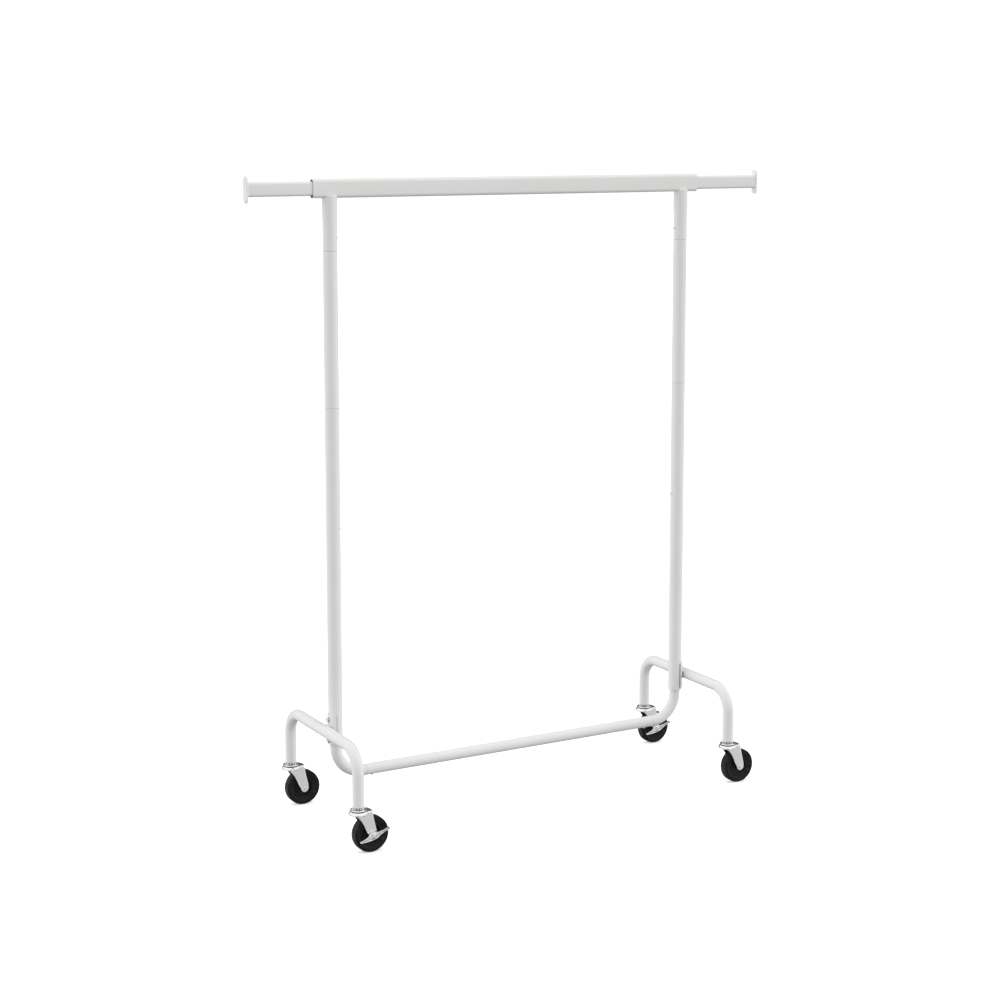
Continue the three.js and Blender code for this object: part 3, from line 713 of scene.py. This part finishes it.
# ------------------------------------------------------------------ bottom bar and corner bends
piece("bar_tube", Geo().lathe(tube_profile(BAR_R, 1.4, -BAR_HALF + 0.15, BAR_HALF - 0.15), (0, 0, BAR_Z), "x", 64, closed=True),
      "white_paint", "rack_frame", ["bottom_bar"], sharp=50)
for side, s in SIDES:
    P, T = round_path([(s * POST_X, 0, BEND_TOP), (s * POST_X, 0, BAR_Z), (s * (BAR_HALF + 0.15), 0, BAR_Z)], BEND_R, 26)
    m, R = len(P) - 1, BAR_R
    prof = [(R, 0, 0.7)] + [(R, i, 0) for i in range(1, m)]
    prof += [(R, m, -0.9), (R - 0.15, m, -0.4), (R - 0.7, m, -0.02), (12.4, m, 0.0), (12.2, m, 0.5), (12.2, m, 56), (11.6, m, 58), (11.0, m, 58),
             (11.0, m, -2), (12.6, m, -5)]
    prof += [(12.6, i, 0) for i in range(m - 1, 0, -1)] + [(12.6, 0, 0.4), (12.9, 0, 0), (R - 0.5, 0, 0), (R - 0.12, 0, 0.25)]
    piece(f"bend_{side}", Geo().skin(swept(P, T, (0, 1, 0), prof, 64), close=True), "white_paint", "rack_frame", [f"corner_bend_{side}"], sharp=50)
    g = SCREW.moved(spin(0.9 + 0.4 * s)).moved(TO_DOWN, (s * 404.5, 0, BAR_Z - BAR_R + 0.05))
    piece(f"screw_bar_{side}", g, "bright_zinc", "rack_frame", [f"bar_screw_{side}"])

# ------------------------------------------------------------------ base tubes, saddle brackets, bolts
for side, s in SIDES:
    bx = s * BASE_X
    P, T = round_path([(bx, -LEG_Y, LEG_BOTTOM), (bx, -LEG_Y, BASE_Z), (bx, LEG_Y, BASE_Z), (bx, LEG_Y, LEG_BOTTOM)], BASE_BEND, 22)
    piece(f"base_{side}", hollow_tube(P, T, (1, 0, 0), BASE_R, 1.4, 64), "white_paint", "rack_frame", [f"base_tube_{side}"], sharp=50)

    # half-round plate on the outer side of the post, corners rounded
    r_out, H, half_u, rc = 19.8, 74.0, 74 * math.pi / 180 * 19.8, 6.0
    zc = 250.0
    vs = np.concatenate([np.linspace(-H / 2, -H / 2 + rc, 12), np.linspace(-H / 2 + rc, H / 2 - rc, 12)[1:], np.linspace(H / 2 - rc, H / 2, 12)[1:]])
    vs = vs + 0.0
    q = (np.arange(12) / 11.0)
    vs[:12] = -H / 2 + rc * (1 - np.cos(q * math.pi / 2))
    vs[-12:] = (H / 2 - rc * (1 - np.cos(q * math.pi / 2)))[::-1]
    G = np.zeros((len(vs), 49, 3))
    for i, v in enumerate(vs):
        d = abs(v) - (H / 2 - rc)
        w = half_u if d <= 0 else half_u - rc + math.sqrt(max(rc * rc - d * d, 0))
        for j, t in enumerate(np.linspace(-1, 1, 49)):
            a = t * w / r_out
            G[i, j] = (s * (POST_X + r_out * math.cos(a)), r_out * math.sin(a), zc + v)
    axis_x = s * POST_X
    g = Geo().sheet(G, 1.9, lambda g: g - np.array([axis_x, 0, 0]) * np.array([1, 1, 1]) - g * np.array([0, 0, 1]))
    piece(f"saddle_{side}", g, "white_paint", "rack_frame", [f"bracket_{side}"], bevel=0.45, sharp=40)

    # dark strip along both straight edges of the plate: painted shade standing for the shadowed gap between plate and
    # post
    g = Geo()
    for e in (-1, 1):
        a0, a1 = e * math.radians(74.1), e * math.radians(75.6)
        S = []
        for v in (-H / 2 + rc * 0.75, -H / 2 + rc, H / 2 - rc, H / 2 - rc * 0.75):
            k = 0.35 if abs(v) > H / 2 - rc + 0.1 else 0.0
            q = [(r, a0 + (a1 - a0) * t) for r, t in ((17.6, 0.0), (19.4 - k, 0.0), (19.4 - k, 1.0), (17.6, 1.0))]
            S.append(np.array([(s * (POST_X + r * math.cos(a)), r * math.sin(a), zc + v) for r, a in q]))
        g.skin(S, cap0="flat", cap1="flat")
    piece(f"saddle_shade_strip_{side}", g, "black_plastic", "rack_frame")

    # welds above and below the base tube where it meets the plate
    for k, dz in (("top", 8.6), ("under", -8.6)):
        pts = [(s * (POST_X + math.sqrt(20.0 ** 2 - y * y) + 1.3 + 0.018 * y * y), y, BASE_Z + dz) for y in np.linspace(-12.5, 12.5, 30)]
        piece(f"weld_base_{k}_{side}", bead(pts, 2.3, seed=20 + len(k) + s), "white_paint", "rack_frame", mat=WELD)

    for tag, z in (("lower", 221.5), ("upper", 273.5)):
        g = BOLT.moved(spin(0.2 + (z > 250) * 0.35)).moved(TO_X(s), (s * (POST_X + 19.8 + 0.45), 0, z))
        piece(f"bolt_{tag}_{side}", g, "bright_zinc", "rack_frame", [f"bracket_bolt_{tag}_{side}"])
        ring = fillet([(3.1, -0.6), (6.6, -0.6), (6.75, -0.1), (6.5, 0.35), (5.3, 0.35), (3.1, 0.1)], 0.15, 2, closed=True)
        piece(f"bolt_washer_{tag}_{side}", Geo().lathe(ring, (0, 0, 0), "z", 48, closed=True).moved(TO_X(s), (s * (POST_X + 19.8), 0, z)), "black_plastic", "rack_frame")


# ------------------------------------------------------------------ casters
def hexagon(af, inset=0.0, r=1.2):
    R = (af / 2 - inset) / math.cos(math.pi / 6)
    pts = [(R * math.cos(a), R * math.sin(a)) for a in np.arange(6) * math.pi / 3]
    return np.array(fillet(pts, r, 3, closed=True))


def notched_socket(at):
    """Grip socket: a plug in the leg above a thin flange whose rim is notched all round."""
    n, teeth = 240, 12
    ang = np.linspace(0, 2 * np.pi, n, endpoint=False)
    wave = np.clip(3.0 * np.cos(ang * teeth) + 0.6, -1, 1) * 0.5 + 0.5
    def ringz(r0, r1, z):
        r = r0 + (r1 - r0) * wave
        return np.c_[at[0] + r * np.cos(ang), at[1] + r * np.sin(ang), np.full(n, z)]
    rows = [ringz(12.0, 12.0, 110.2), ringz(12.4, 14.3, 110.2), ringz(12.5, 14.8, 110.45), ringz(12.55, 15.0, 110.9), ringz(12.55, 15.0, 112.9),
            ringz(12.5, 14.9, 113.35), ringz(12.4, 14.4, 113.62), ringz(12.15, 12.15, 113.7), ringz(12.15, 12.15, 133.4), ringz(11.6, 11.6, 134), ringz(11.4, 11.4, 134),
            ringz(11.4, 11.4, 110.2)]
    return Geo().skin(rows, close=True)


def table(pairs, x, smooth=5):
    xs = np.array([p[0] for p in pairs], float)
    ys = np.array([p[1] for p in pairs], float)
    o = np.argsort(xs)
    fine = np.linspace(xs.min(), xs.max(), 160)
    v = np.interp(fine, xs[o], ys[o])
    for _ in range(smooth):
        v[1:-1] = (v[:-2] + 2 * v[1:-1] + v[2:]) / 4
        v[1:-1] = (v[:-2] + 2 * v[1:-1] + v[2:]) / 4
    return np.interp(x, fine, v)


def fork_plate():
    """Round swivel plate with a lobe over the wheel, its rim drawn down and a race groove pressed in."""
    n = 120
    ang = np.linspace(0, 2 * np.pi, n, endpoint=False)
    rho = []
    for a in ang:
        c, sn = math.cos(a), math.sin(a)
        t = 0.0
        if c > 0:
            t = ((c / 34.0) ** 4.5 + (abs(sn) / 17.4) ** 4.5) ** (-1 / 4.5)
        rho.append((24.0 ** 14 + t ** 14) ** (1 / 14) if t else 24.0)
    rho = np.minimum(np.array(rho), 33.9)
    lobe = np.clip((np.cos(ang) - 0.35) / 0.3, 0, 1)
    drop = 7.7 - 4.5 * lobe
    rows = [(5.4, -1.1), (7.0, -1.1), (9.0, -0.9), (10.2, -0.2), (11.5, 0.0), (14.0, 0.0), (15.0, -0.25), (17.0, -0.3), (18.5, -0.1)]
    G = [np.c_[r * np.cos(ang), r * np.sin(ang), np.full(n, FORK_TOP + z)] for r, z in rows]
    for d0, k0, d1, k1 in ((4.2, 0.02, 4.2, 0.0), (3.4, 0.06, 3.4, 0.03), (2.7, 0.14, 2.5, 0.08), (2.1, 0.26, 1.6, 0.17), (1.6, 0.38, 0.85, 0.30),
                           (1.1, 0.52, 0.3, 0.46), (0.6, 0.68, 0.05, 0.66), (0.2, 0.86, 0.0, 0.84), (0.0, 1.0, 0.0, 1.0)):
        r = rho - (d0 + (d1 - d0) * lobe)
        G.append(np.c_[r * np.cos(ang), r * np.sin(ang), FORK_TOP - drop * (k0 + (k1 - k0) * lobe)])
    return Geo().sheet(np.array(G), 2.1, (0, 0, 1), wrap=True)


def fork_arm(side):
    """One stamped arm: bent down from the plate, leading edge folded inwards, narrowing to a round axle boss."""
    RB = 10.3
    T = FORK_TOP
    path = [(7.5, T - 1.2), (10.0, T - 1.2), (13.0, T - 1.2)]
    for k in range(1, 8):
        a = k / 7 * math.pi / 2
        path.append((13.7 + 3.8 * math.sin(a), T - 5.0 + 3.8 * math.cos(a)))
    for z in np.linspace(T - 7, AXLE_Z, 26):
        path.append((17.5, z))
    for k in range(1, 11):
        path.append((17.5, AXLE_Z - RB * math.sin(k / 10 * math.radians(86))))
    left = [(T, -15.5), (99, -14.8), (96, -12.8), (92.5, -9.4), (88, -5.2), (82, -0.6), (76, 3.3), (68, 7.5), (60, 11.2), (52, 14.9), (47, 18.0), (AXLE_Z, 19.7)]
    right = [(T, 30.3), (96, 31.0), (88, 32.3), (75, 35.0), (64, 37.6), (56, 39.3), (50, 40.1), (AXLE_Z, 40.3)]
    lip_l = [(T, 8.5), (95, 8.0), (81, 6.0), (68, 3.4), (57, 1.6), (46, 0.5), (30, 0.5)]
    lip_r = [(T, 2.6), (86, 2.4), (70, 1.5), (58, 0.8), (44, 0.5), (30, 0.5)]
    G = []
    for y, z in path:
        if z > AXLE_Z:
            x0, x1 = float(table(left, z)), float(table(right, z))
        else:
            w = math.sqrt(max(RB * RB - (AXLE_Z - z) ** 2, 0.3))
            x0, x1 = TRAIL - w, TRAIL + w
        fl, fr = float(table(lip_l, z)), float(table(lip_r, z))
        if y < 13.8:
            fl = fr = 0.5
        row = []
        def edge(x, f, sgn):
            rr = min(2.4, f, (x1 - x0) * 0.24)
            pts = []
            if f - rr > 0.05:
                pts.append((x, y - f))
            else:
                pts.append((x, y - rr - 0.02))
            for k in range(6):
                a = (1 - k / 5) * math.pi / 2
                pts.append((x + sgn * (rr - rr * math.sin(a)), y - (rr - rr * math.cos(a))))
            return pts
        el, er = edge(x0, fl, 1), edge(x1, fr, -1)
        row += el
        row += [(x, y) for x in np.linspace(el[-1][0], er[-1][0], 12)[1:-1]]
        row += er[::-1]
        G.append([(x, side * yy, z) for x, yy in row])
    return Geo().sheet(np.array(G), 2.2, (0, side, 0.15))


def wheel_geo():
    """Solid tyre and centre in one moulding: crowned tread, parting line, raised side ring, ribbed web, hub."""
    half = [(4.7, 14.4), (8.6, 14.4), (9.4, 13.2), (10.2, 5.2), (12.0, 3.8), (20.6, 3.8), (22.6, 7.2), (24.2, 8.6), (27.5, 8.9), (28.2, 8.0), (29.4, 8.0), (30.2, 9.0), (33.6, 10.4),
            (35.0, 11.1), (38.0, 11.2), (38.7, 10.0), (39.9, 10.0), (40.6, 11.1), (42.9, 10.9), (44.25, 9.5), (44.5, 6.4), (44.5, 0.5), (44.6, 0.35)]
    rad = [0.3, 0.5, 0.6, 1.2, 1.2, 1.2, 1.0, 0.8, 0.5, 0.4, 0.4, 0.5, 0.8, 0.7, 0.3, 0.3, 0.3, 0.3, 1.0, 1.0, 0.8, 0.05, 0.05]
    prof = [(r, -h) for r, h in half] + [(r, h) for r, h in half[::-1]]
    rads = rad + rad[::-1]
    rads[0] = rads[-1] = 0.3
    prof = fillet(prof, rads, 3, closed=True)
    g = Geo().lathe(prof, (TRAIL, 0, AXLE_Z), "y", 128, closed=True)
    return g


def lever_outline(inset):
    pts = [(-38.8, -1.8), (-29, -4.1), (-14.5, -6.9), (-6.5, -7.8), (5.5, -7.8), (12.5, -5.0), (24, -2.5), (39.6, -1.8), (39.6, 3.1), (24, 3.5), (12.5, 5.4), (5.5, 7.8), (-7, 7.8),
           (-14.5, 6.3), (-25, 3.6), (-38.8, 2.3)]
    rad = [1.8, 14, 14, 6, 6, 10, 20, 2.2, 2.2, 20, 10, 6, 6, 14, 14, 1.8]
    P = np.array(fillet(pts, rad, 5, closed=True))
    if inset:
        us = (-38.8, -29, -14.5, -6.8, 5.5, 12.5, 24, 39.6)
        top = np.interp(P[:, 0], us, (2.3, 4.3, 6.3, 7.8, 7.8, 5.4, 3.5, 3.1))
        low = np.interp(P[:, 0], us, (-1.8, -4.1, -6.9, -7.8, -7.8, -5.0, -2.5, -1.8))
        mid, half = (top + low) / 2, (top - low) / 2
        P = np.c_[P[:, 0] * (1 - inset / 39.0), mid + (P[:, 1] - mid) * np.maximum(1 - inset / half, 0.16)]
    return P


def lever_geo(y_back):
    """Pressed rocker lever: an open tray, deepest in the middle, rims rolled. y_back is its back face, open towards -Y."""
    S = []
    for inset, d in ((3.0, 0.0), (1.1, 0.0), (0.35, 0.3), (0.0, 1.1), (0.0, 4.0), (0.0, 6.4), (0.2, 6.75), (0.7, 6.98), (1.2, 6.9), (1.55, 6.5), (1.65, 4.4),
                     (1.7, 2.9), (2.1, 2.2), (3.0, 1.9), (4.2, 1.9)):
        o = lever_outline(inset)
        k = 1 - 0.36 * (np.abs(o[:, 0]) / 40.0) ** 1.6
        dd = np.where(d > 3.0, 2.6 + (d - 2.6) * k, d)
        S.append(np.c_[o[:, 0], y_back - dd, o[:, 1]])
    g = Geo().skin(S, cap0="flat", cap1="flat")
    # two pressed ribs on the tray floor
    for u0, u1 in ((-31, -11), (11, 24)):
        rib = []
        for u in np.linspace(u0, u1, 9):
            t = (u - u0) / (u1 - u0)
            w = 0.9 * math.sin(math.pi * min(max(t, 0.04), 0.96)) ** 0.5
            h = 1.0 * math.sin(math.pi * min(max(t, 0.04), 0.96)) ** 0.5
            a = np.linspace(0, 2 * np.pi, 12, endpoint=False)
            rib.append(np.c_[np.full(12, u), y_back - 1.9 - h * np.maximum(np.cos(a), -0.4), w * np.sin(a)])
        g.skin(rib, cap0="flat", cap1="flat")
    return g


def tread_tab(y_back):
    """Foot tab with pressed serrations along its upper face."""
    pts = [(24.5, 0.9)]
    u = 25.5
    pts.append((u, 3.0))
    while u < 40.2:
        pts += [(u + 0.55, 3.65), (u + 1.15, 3.65), (u + 1.75, 2.95)]
        u += 2.1
    pts += [(42.0, 3.0), (42.3, 1.9), (41.6, 0.9)]
    o = np.array(fillet(pts, 0.22, 2, closed=True))
    c = o.mean(0)
    def grown(k):
        q = o - c
        return c + q * np.array([1 - k * 0.05, 1 - k * 0.25])
    S = []
    for k, d in ((1.0, 0.4), (0.0, 0.8), (0.0, 9.9), (0.4, 10.35), (1.0, 10.5)):
        q = grown(k)
        S.append(np.c_[q[:, 0], np.full(len(q), y_back - d), q[:, 1] - 0.7])
    return Geo().skin(S, cap0="flat", cap1="flat")


FORK_PLATE, ARM_F, ARM_R, WHEEL = fork_plate(), fork_arm(-1), fork_arm(1), wheel_geo()
TILT = math.radians(18)
TURN = np.array([[math.cos(TILT), 0, -math.sin(TILT)], [0, 1, 0], [math.sin(TILT), 0, math.cos(TILT)]])

for tag, sx, sy, brake in CASTERS:
    cx, cy = sx * BASE_X, sy * LEG_Y
    at = (cx, cy, 0)
    fixed, swivel, roll = "rack_frame", f"swivel_{tag}", f"wheel_{tag}"

    # socket rim under the leg
    piece(f"socket_{tag}", notched_socket(at), "bright_zinc", fixed, [f"caster_socket_{tag}"], sharp=35)
    core = fillet([(5.5, 111.7), (11.2, 111.7), (11.2, 109.9), (12.75, 110.5), (12.75, 113.4), (11.3, 113.6), (11.3, 133.8), (5.5, 133.8)], 0.1, 1, closed=True)
    g = Geo().lathe(core, at, "z", 64, closed=True)
    piece(f"socket_grip_{tag}", g, "black_plastic", fixed)

    # stem, collar nut, domed upper race and riveted head below
    T = FORK_TOP
    race = [(7.0, T + 5.1), (13.5, T + 5.1), (15.6, T + 4.9), (17.6, T + 4.4), (19.3, T + 3.8), (20.4, T + 3.1), (20.55, T + 2.5), (20.3, T + 2.0), (19.5, T + 1.9),
            (18.6, T + 2.0), (16.4, T + 2.2), (13.0, T + 2.4), (7.0, T + 2.6)]
    g = Geo().lathe(fillet(race, 0.4, 2, closed=True), at, "z", 96, closed=True)
    nut = [(hexagon(22, 1.6, 3.0), T + 4.9), (hexagon(22, 0.1), T + 5.1), (hexagon(22), T + 5.6), (hexagon(22), T + 6.4), (hexagon(22, 2.0, 3.0), T + 6.75)]
    g.prism(nut, at, "z", cap0="flat", cap1="flat")
    stem = [(0, 131.5), (4.2, 131.5), (4.9, 130.6), (4.9, T - 2), (4.9, T - 3.1), (7.9, T - 3.1), (8.4, T - 3.6), (8.0, T - 4.8), (6.2, T - 5.9), (3.0, T - 6.3), (2.2, T - 5.6), (0, T - 5.4)]
    g.lathe(stem, at, "z", 56)
    piece(f"stem_{tag}", g, "bright_zinc", fixed, [f"caster_stem_{tag}"], sharp=38)

    # black ring between fork plate and race: painted shade standing for the shadowed ball-race gap
    race_gap_shade = fillet([(9.0, T + 0.5), (18.9, T + 0.5), (19.1, T + 1.0), (18.9, T + 1.8), (9.0, T + 2.0)], 0.25, 2, closed=True)
    piece(f"seal_{tag}", Geo().lathe(race_gap_shade, at, "z", 80, closed=True), "black_plastic", fixed)

    # swivelling fork
    g = Geo()
    for part in (FORK_PLATE, ARM_F, ARM_R):
        q = part.moved(shift=at)
        g.add(np.vstack(q.v), q.f)
    piece(f"fork_{tag}", g, "bright_zinc", swivel, [f"caster_fork_{tag}"], bevel=0.35, angle=50, sharp=38)

    piece(f"tyre_{tag}", WHEEL.moved(shift=at), "wheel_rubber", roll, [f"caster_wheel_{tag}"], sharp=38)
    tube = fillet([(4.35, -14.6), (6.0, -14.6), (6.4, -14.2), (6.4, 14.2), (6.0, 14.6), (4.35, 14.6)], 0.2, 2, closed=True)
    g = Geo().lathe(tube, (cx + TRAIL, cy, AXLE_Z), "y", 48, closed=True)
    piece(f"hub_tube_{tag}", g, "plain_steel", roll)

    # axle: domed rivet head at the back, and at the front a second head or, with a brake, a nut
    yo = 17.7
    o = (cx + TRAIL, cy, AXLE_Z)
    rear = fillet([(0, yo + 3.3), (2.0, yo + 3.3), (4.8, yo + 2.6), (6.9, yo + 1.2), (7.2, yo + 0.5), (7.2, yo), (3.9, yo), (3.9, 0), (0, 0)], 0.5, 3)
    g = Geo().lathe(rear, o, "y", 56)
    g.lathe(fillet([(3.9, yo - 0.1), (9.0, yo - 0.1), (9.0, yo + 0.75), (3.9, yo + 0.75)], 0.25, 2, closed=True), o, "y", 56, closed=True)
    if brake:
        yb = yo + 0.1 + 2.4 + 0.3 + 2.0 + 0.3
        g.lathe(fillet([(3.9, yb - 0.1), (5.9, yb - 0.1), (5.9, yb + 0.6), (3.9, yb + 0.6)], 0.2, 2, closed=True), o, "-y", 48, closed=True)
        nut = [(hexagon(9.8, 0.7, 0.8), yb + 0.6), (hexagon(9.8, 0.1, 0.8), yb + 0.9), (hexagon(9.8, 0, 0.8), yb + 1.2), (hexagon(9.8, 0, 0.8), yb + 2.6), (hexagon(9.8, 0.8, 1.6), yb + 3.2)]
        g.prism(nut, o, "-y", cap0="flat", cap1="flat")
        g.lathe([(0, 0), (3.9, 0), (3.9, yb + 4.4), (3.4, yb + 4.9), (0, yb + 4.9)], o, "-y", 40)
        cam = fillet([(4.5, yo + 0.1), (9.5, yo + 0.1), (9.0, yo + 1.4), (8.2, yo + 2.3), (4.5, yo + 2.3)], 0.3, 2, closed=True)
        piece(f"cam_{tag}", Geo().lathe(cam, o, "-y", 56, closed=True), "plain_steel", swivel, [f"brake_cam_{tag}"])
        yl = -(yo + 0.1 + 2.4 + 0.3)
        g2 = lever_geo(yl)
        piece(f"lever_{tag}", g2.moved(TURN, o), "bright_zinc", f"lever_{tag}", [f"brake_lever_{tag}"], sharp=38)
        piece(f"lever_tread_{tag}", tread_tab(yl).moved(TURN, o), "bright_zinc", f"lever_{tag}", sharp=30)
    else:
        g.lathe(fillet([(3.9, yo - 0.1), (6.4, yo - 0.1), (6.4, yo + 0.5), (3.9, yo + 0.5)], 0.2, 2, closed=True), o, "-y", 56, closed=True)
        front = fillet([(0, yo + 1.5), (1.5, yo + 1.5), (2.1, yo + 2.5), (3.7, yo + 2.5), (4.7, yo + 1.7), (5.0, yo + 1.0), (4.6, yo + 0.2), (3.9, yo), (3.9, 0), (0, 0)], 0.3, 3)
        g.lathe(front, o, "-y", 56)
    piece(f"axle_{tag}", g, "bright_zinc", swivel, [f"caster_axle_{tag}"], sharp=38)

# ------------------------------------------------------------------ CAD nodes that stay
KEEP = {"post_joint_sleeve": "plain_steel", "rod_glider": "black_plastic"}
for name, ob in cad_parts.items():
    for start, mat in KEEP.items():
        if name.startswith(start):
            ob.data.materials.clear()
            ob.data.materials.append(MATS[mat])

# ------------------------------------------------------------------ floor
fm = Nodes("studio_floor")
fcol = fm.mix(fm.ramp(fm.noise(1.3, 3), 0.3, 0.7), (0.955, 0.955, 0.955), (0.97, 0.97, 0.97))
fr = fm.ramp(fm.noise(30, 3), 0.3, 0.7, 0.75, 0.9)
fmat = fm.put(Base_Color=fcol, Roughness=fr, Specular_IOR_Level=0.1, Emission_Color=(1, 1, 1), Emission_Strength=0.38, Normal=fm.bump(fm.noise(260, 2), 0.05, 0.0004))
bm = bmesh.new()
N_F, SPAN = 12, 60.0
grid = [[bm.verts.new((-SPAN / 2 + SPAN * i / N_F, -SPAN / 2 + SPAN * j / N_F, -0.0002)) for j in range(N_F + 1)] for i in range(N_F + 1)]
for i in range(N_F):
    for j in range(N_F):
        bm.faces.new((grid[i][j], grid[i + 1][j], grid[i + 1][j + 1], grid[i][j + 1]))
me = bpy.data.meshes.new("studio_floor")
bm.to_mesh(me)
bm.free()
floor = bpy.data.objects.new("studio_floor", me)
bpy.context.collection.objects.link(floor)
me.materials.append(fmat)
floor.visible_diffuse = False
floor.visible_glossy = False

# ------------------------------------------------------------------ light
world = bpy.data.worlds.new("studio")
bpy.context.scene.world = world
world.use_nodes = True
wt = world.node_tree
wt.nodes.clear()


def wn(kind, **kw):
    n = wt.nodes.new(kind)
    for k, v in kw.items():
        setattr(n, k, v)
    return n


def wmath(op, a, b=None, clamp=False):
    m = wn("ShaderNodeMath", operation=op, use_clamp=clamp)
    for i, v in enumerate((a, b)):
        if v is None:
            continue
        if isinstance(v, (int, float)):
            m.inputs[i].default_value = v
        else:
            wt.links.new(v, m.inputs[i])
    return m.outputs[0]


def wramp(v, lo, hi, a, b):
    m = wn("ShaderNodeMapRange", interpolation_type="SMOOTHSTEP")
    for k, q in (("From Min", lo), ("From Max", hi), ("To Min", a), ("To Max", b)):
        m.inputs[k].default_value = q
    wt.links.new(v, m.inputs["Value"])
    return m.outputs[0]


def wmixf(f, a, b):
    m = wn("ShaderNodeMix", data_type="FLOAT")
    for i, v in ((0, f), (2, a), (3, b)):
        if isinstance(v, (int, float)):
            m.inputs[i].default_value = v
        else:
            wt.links.new(v, m.inputs[i])
    return m.outputs[0]


YAW = math.radians(29.3622)
LEVEL = 0.06
wtc = wn("ShaderNodeTexCoord")
sep = wn("ShaderNodeSeparateXYZ")
wt.links.new(wtc.outputs["Generated"], sep.inputs[0])
dx, dy, dz = sep.outputs[0], sep.outputs[1], sep.outputs[2]
ahead = wmath("ADD", wmath("MULTIPLY", dx, math.sin(YAW)), wmath("MULTIPLY", dy, math.cos(YAW)))
right = wmath("SUBTRACT", wmath("MULTIPLY", dx, math.cos(YAW)), wmath("MULTIPLY", dy, math.sin(YAW)))
# soft boxes on both sides and above, little from the viewer's side, a weak bounce from below
quad = wmath("ADD", wmath("MULTIPLY", wmath("MULTIPLY", ahead, ahead), -1.372), wmath("MULTIPLY", wmath("MULTIPLY", dz, dz), -1.136))
lin = wmath("ADD", wmath("MULTIPLY", dz, 0.501), wmath("MULTIPLY", ahead, -0.147))
soft = wmath("MAXIMUM", wmath("ADD", wmath("ADD", quad, lin), 1.627 + LEVEL), 0.03)
# what shiny parts mirror: a pale studio, grey right front, dark strip at the horizon, dark beyond the object and underneath
low = wramp(dz, -0.92, -0.42, 0.16, 1.0)
high = wmixf(wramp(dz, 0.0, 0.6, 0.0, 1.0), 1.02, 1.12)
flank = wmath("MULTIPLY", wmath("MULTIPLY", wramp(ahead, -0.86, -0.68, 0.0, 1.0), wramp(ahead, -0.40, -0.18, 1.0, 0.0)), wramp(right, 0.2, 0.55, 0.0, 1.0))
flank = wmath("MULTIPLY", flank, wramp(dz, 0.05, 0.30, 0.34, 0.0))
line = wmath("MULTIPLY", wramp(dz, -0.13, -0.05, 0.0, 1.0), wramp(dz, 0.01, 0.10, 1.0, 0.0))
line = wmath("MULTIPLY", line, wramp(ahead, -0.5, 0.6, 0.80, 0.30))
spot = wmath("MULTIPLY", wramp(ahead, -0.995, -0.88, 1.0, 0.0), 0.60)
beyond = wmath("MULTIPLY", wramp(ahead, 0.55, 0.90, 0.0, 1.0), 0.88)
gloss = wmath("MULTIPLY", low, high)
for dark in (flank, line, spot, beyond):
    gloss = wmath("MULTIPLY", gloss, wmath("SUBTRACT", 1.0, dark))
lp = wn("ShaderNodeLightPath")
lit = wmixf(lp.outputs["Is Glossy Ray"], soft, gloss)
seen = wmixf(lp.outputs["Is Camera Ray"], lit, 1.06)
bg = wn("ShaderNodeBackground")
bg.inputs["Color"].default_value = (1.0, 1.0, 1.0, 1.0)
wt.links.new(seen, bg.inputs["Strength"])
wo = wn("ShaderNodeOutputWorld")
wt.links.new(bg.outputs[0], wo.inputs["Surface"])


# ------------------------------------------------------------------ camera
cam_data = bpy.data.cameras.new("camera")
cam = bpy.data.objects.new("camera", cam_data)
bpy.context.collection.objects.link(cam)
cam_data.sensor_fit, cam_data.sensor_width = "HORIZONTAL", 36.0
cam_data.lens = 73.42
cam_data.shift_x, cam_data.shift_y = 0.0, -0.09
cam_data.clip_start, cam_data.clip_end = 0.05, 200.0
cam.location = (OX - 2.5300, OY - 4.4287, 1.7150)
cam.rotation_euler = (math.radians(90 - 7.9359), 0.0, -YAW)
bpy.context.scene.camera = cam

sc = bpy.context.scene
sc.view_settings.view_transform = "Standard"
sc.view_settings.look = "None"
sc.view_settings.exposure = 0.0
sc.view_settings.gamma = 1.0
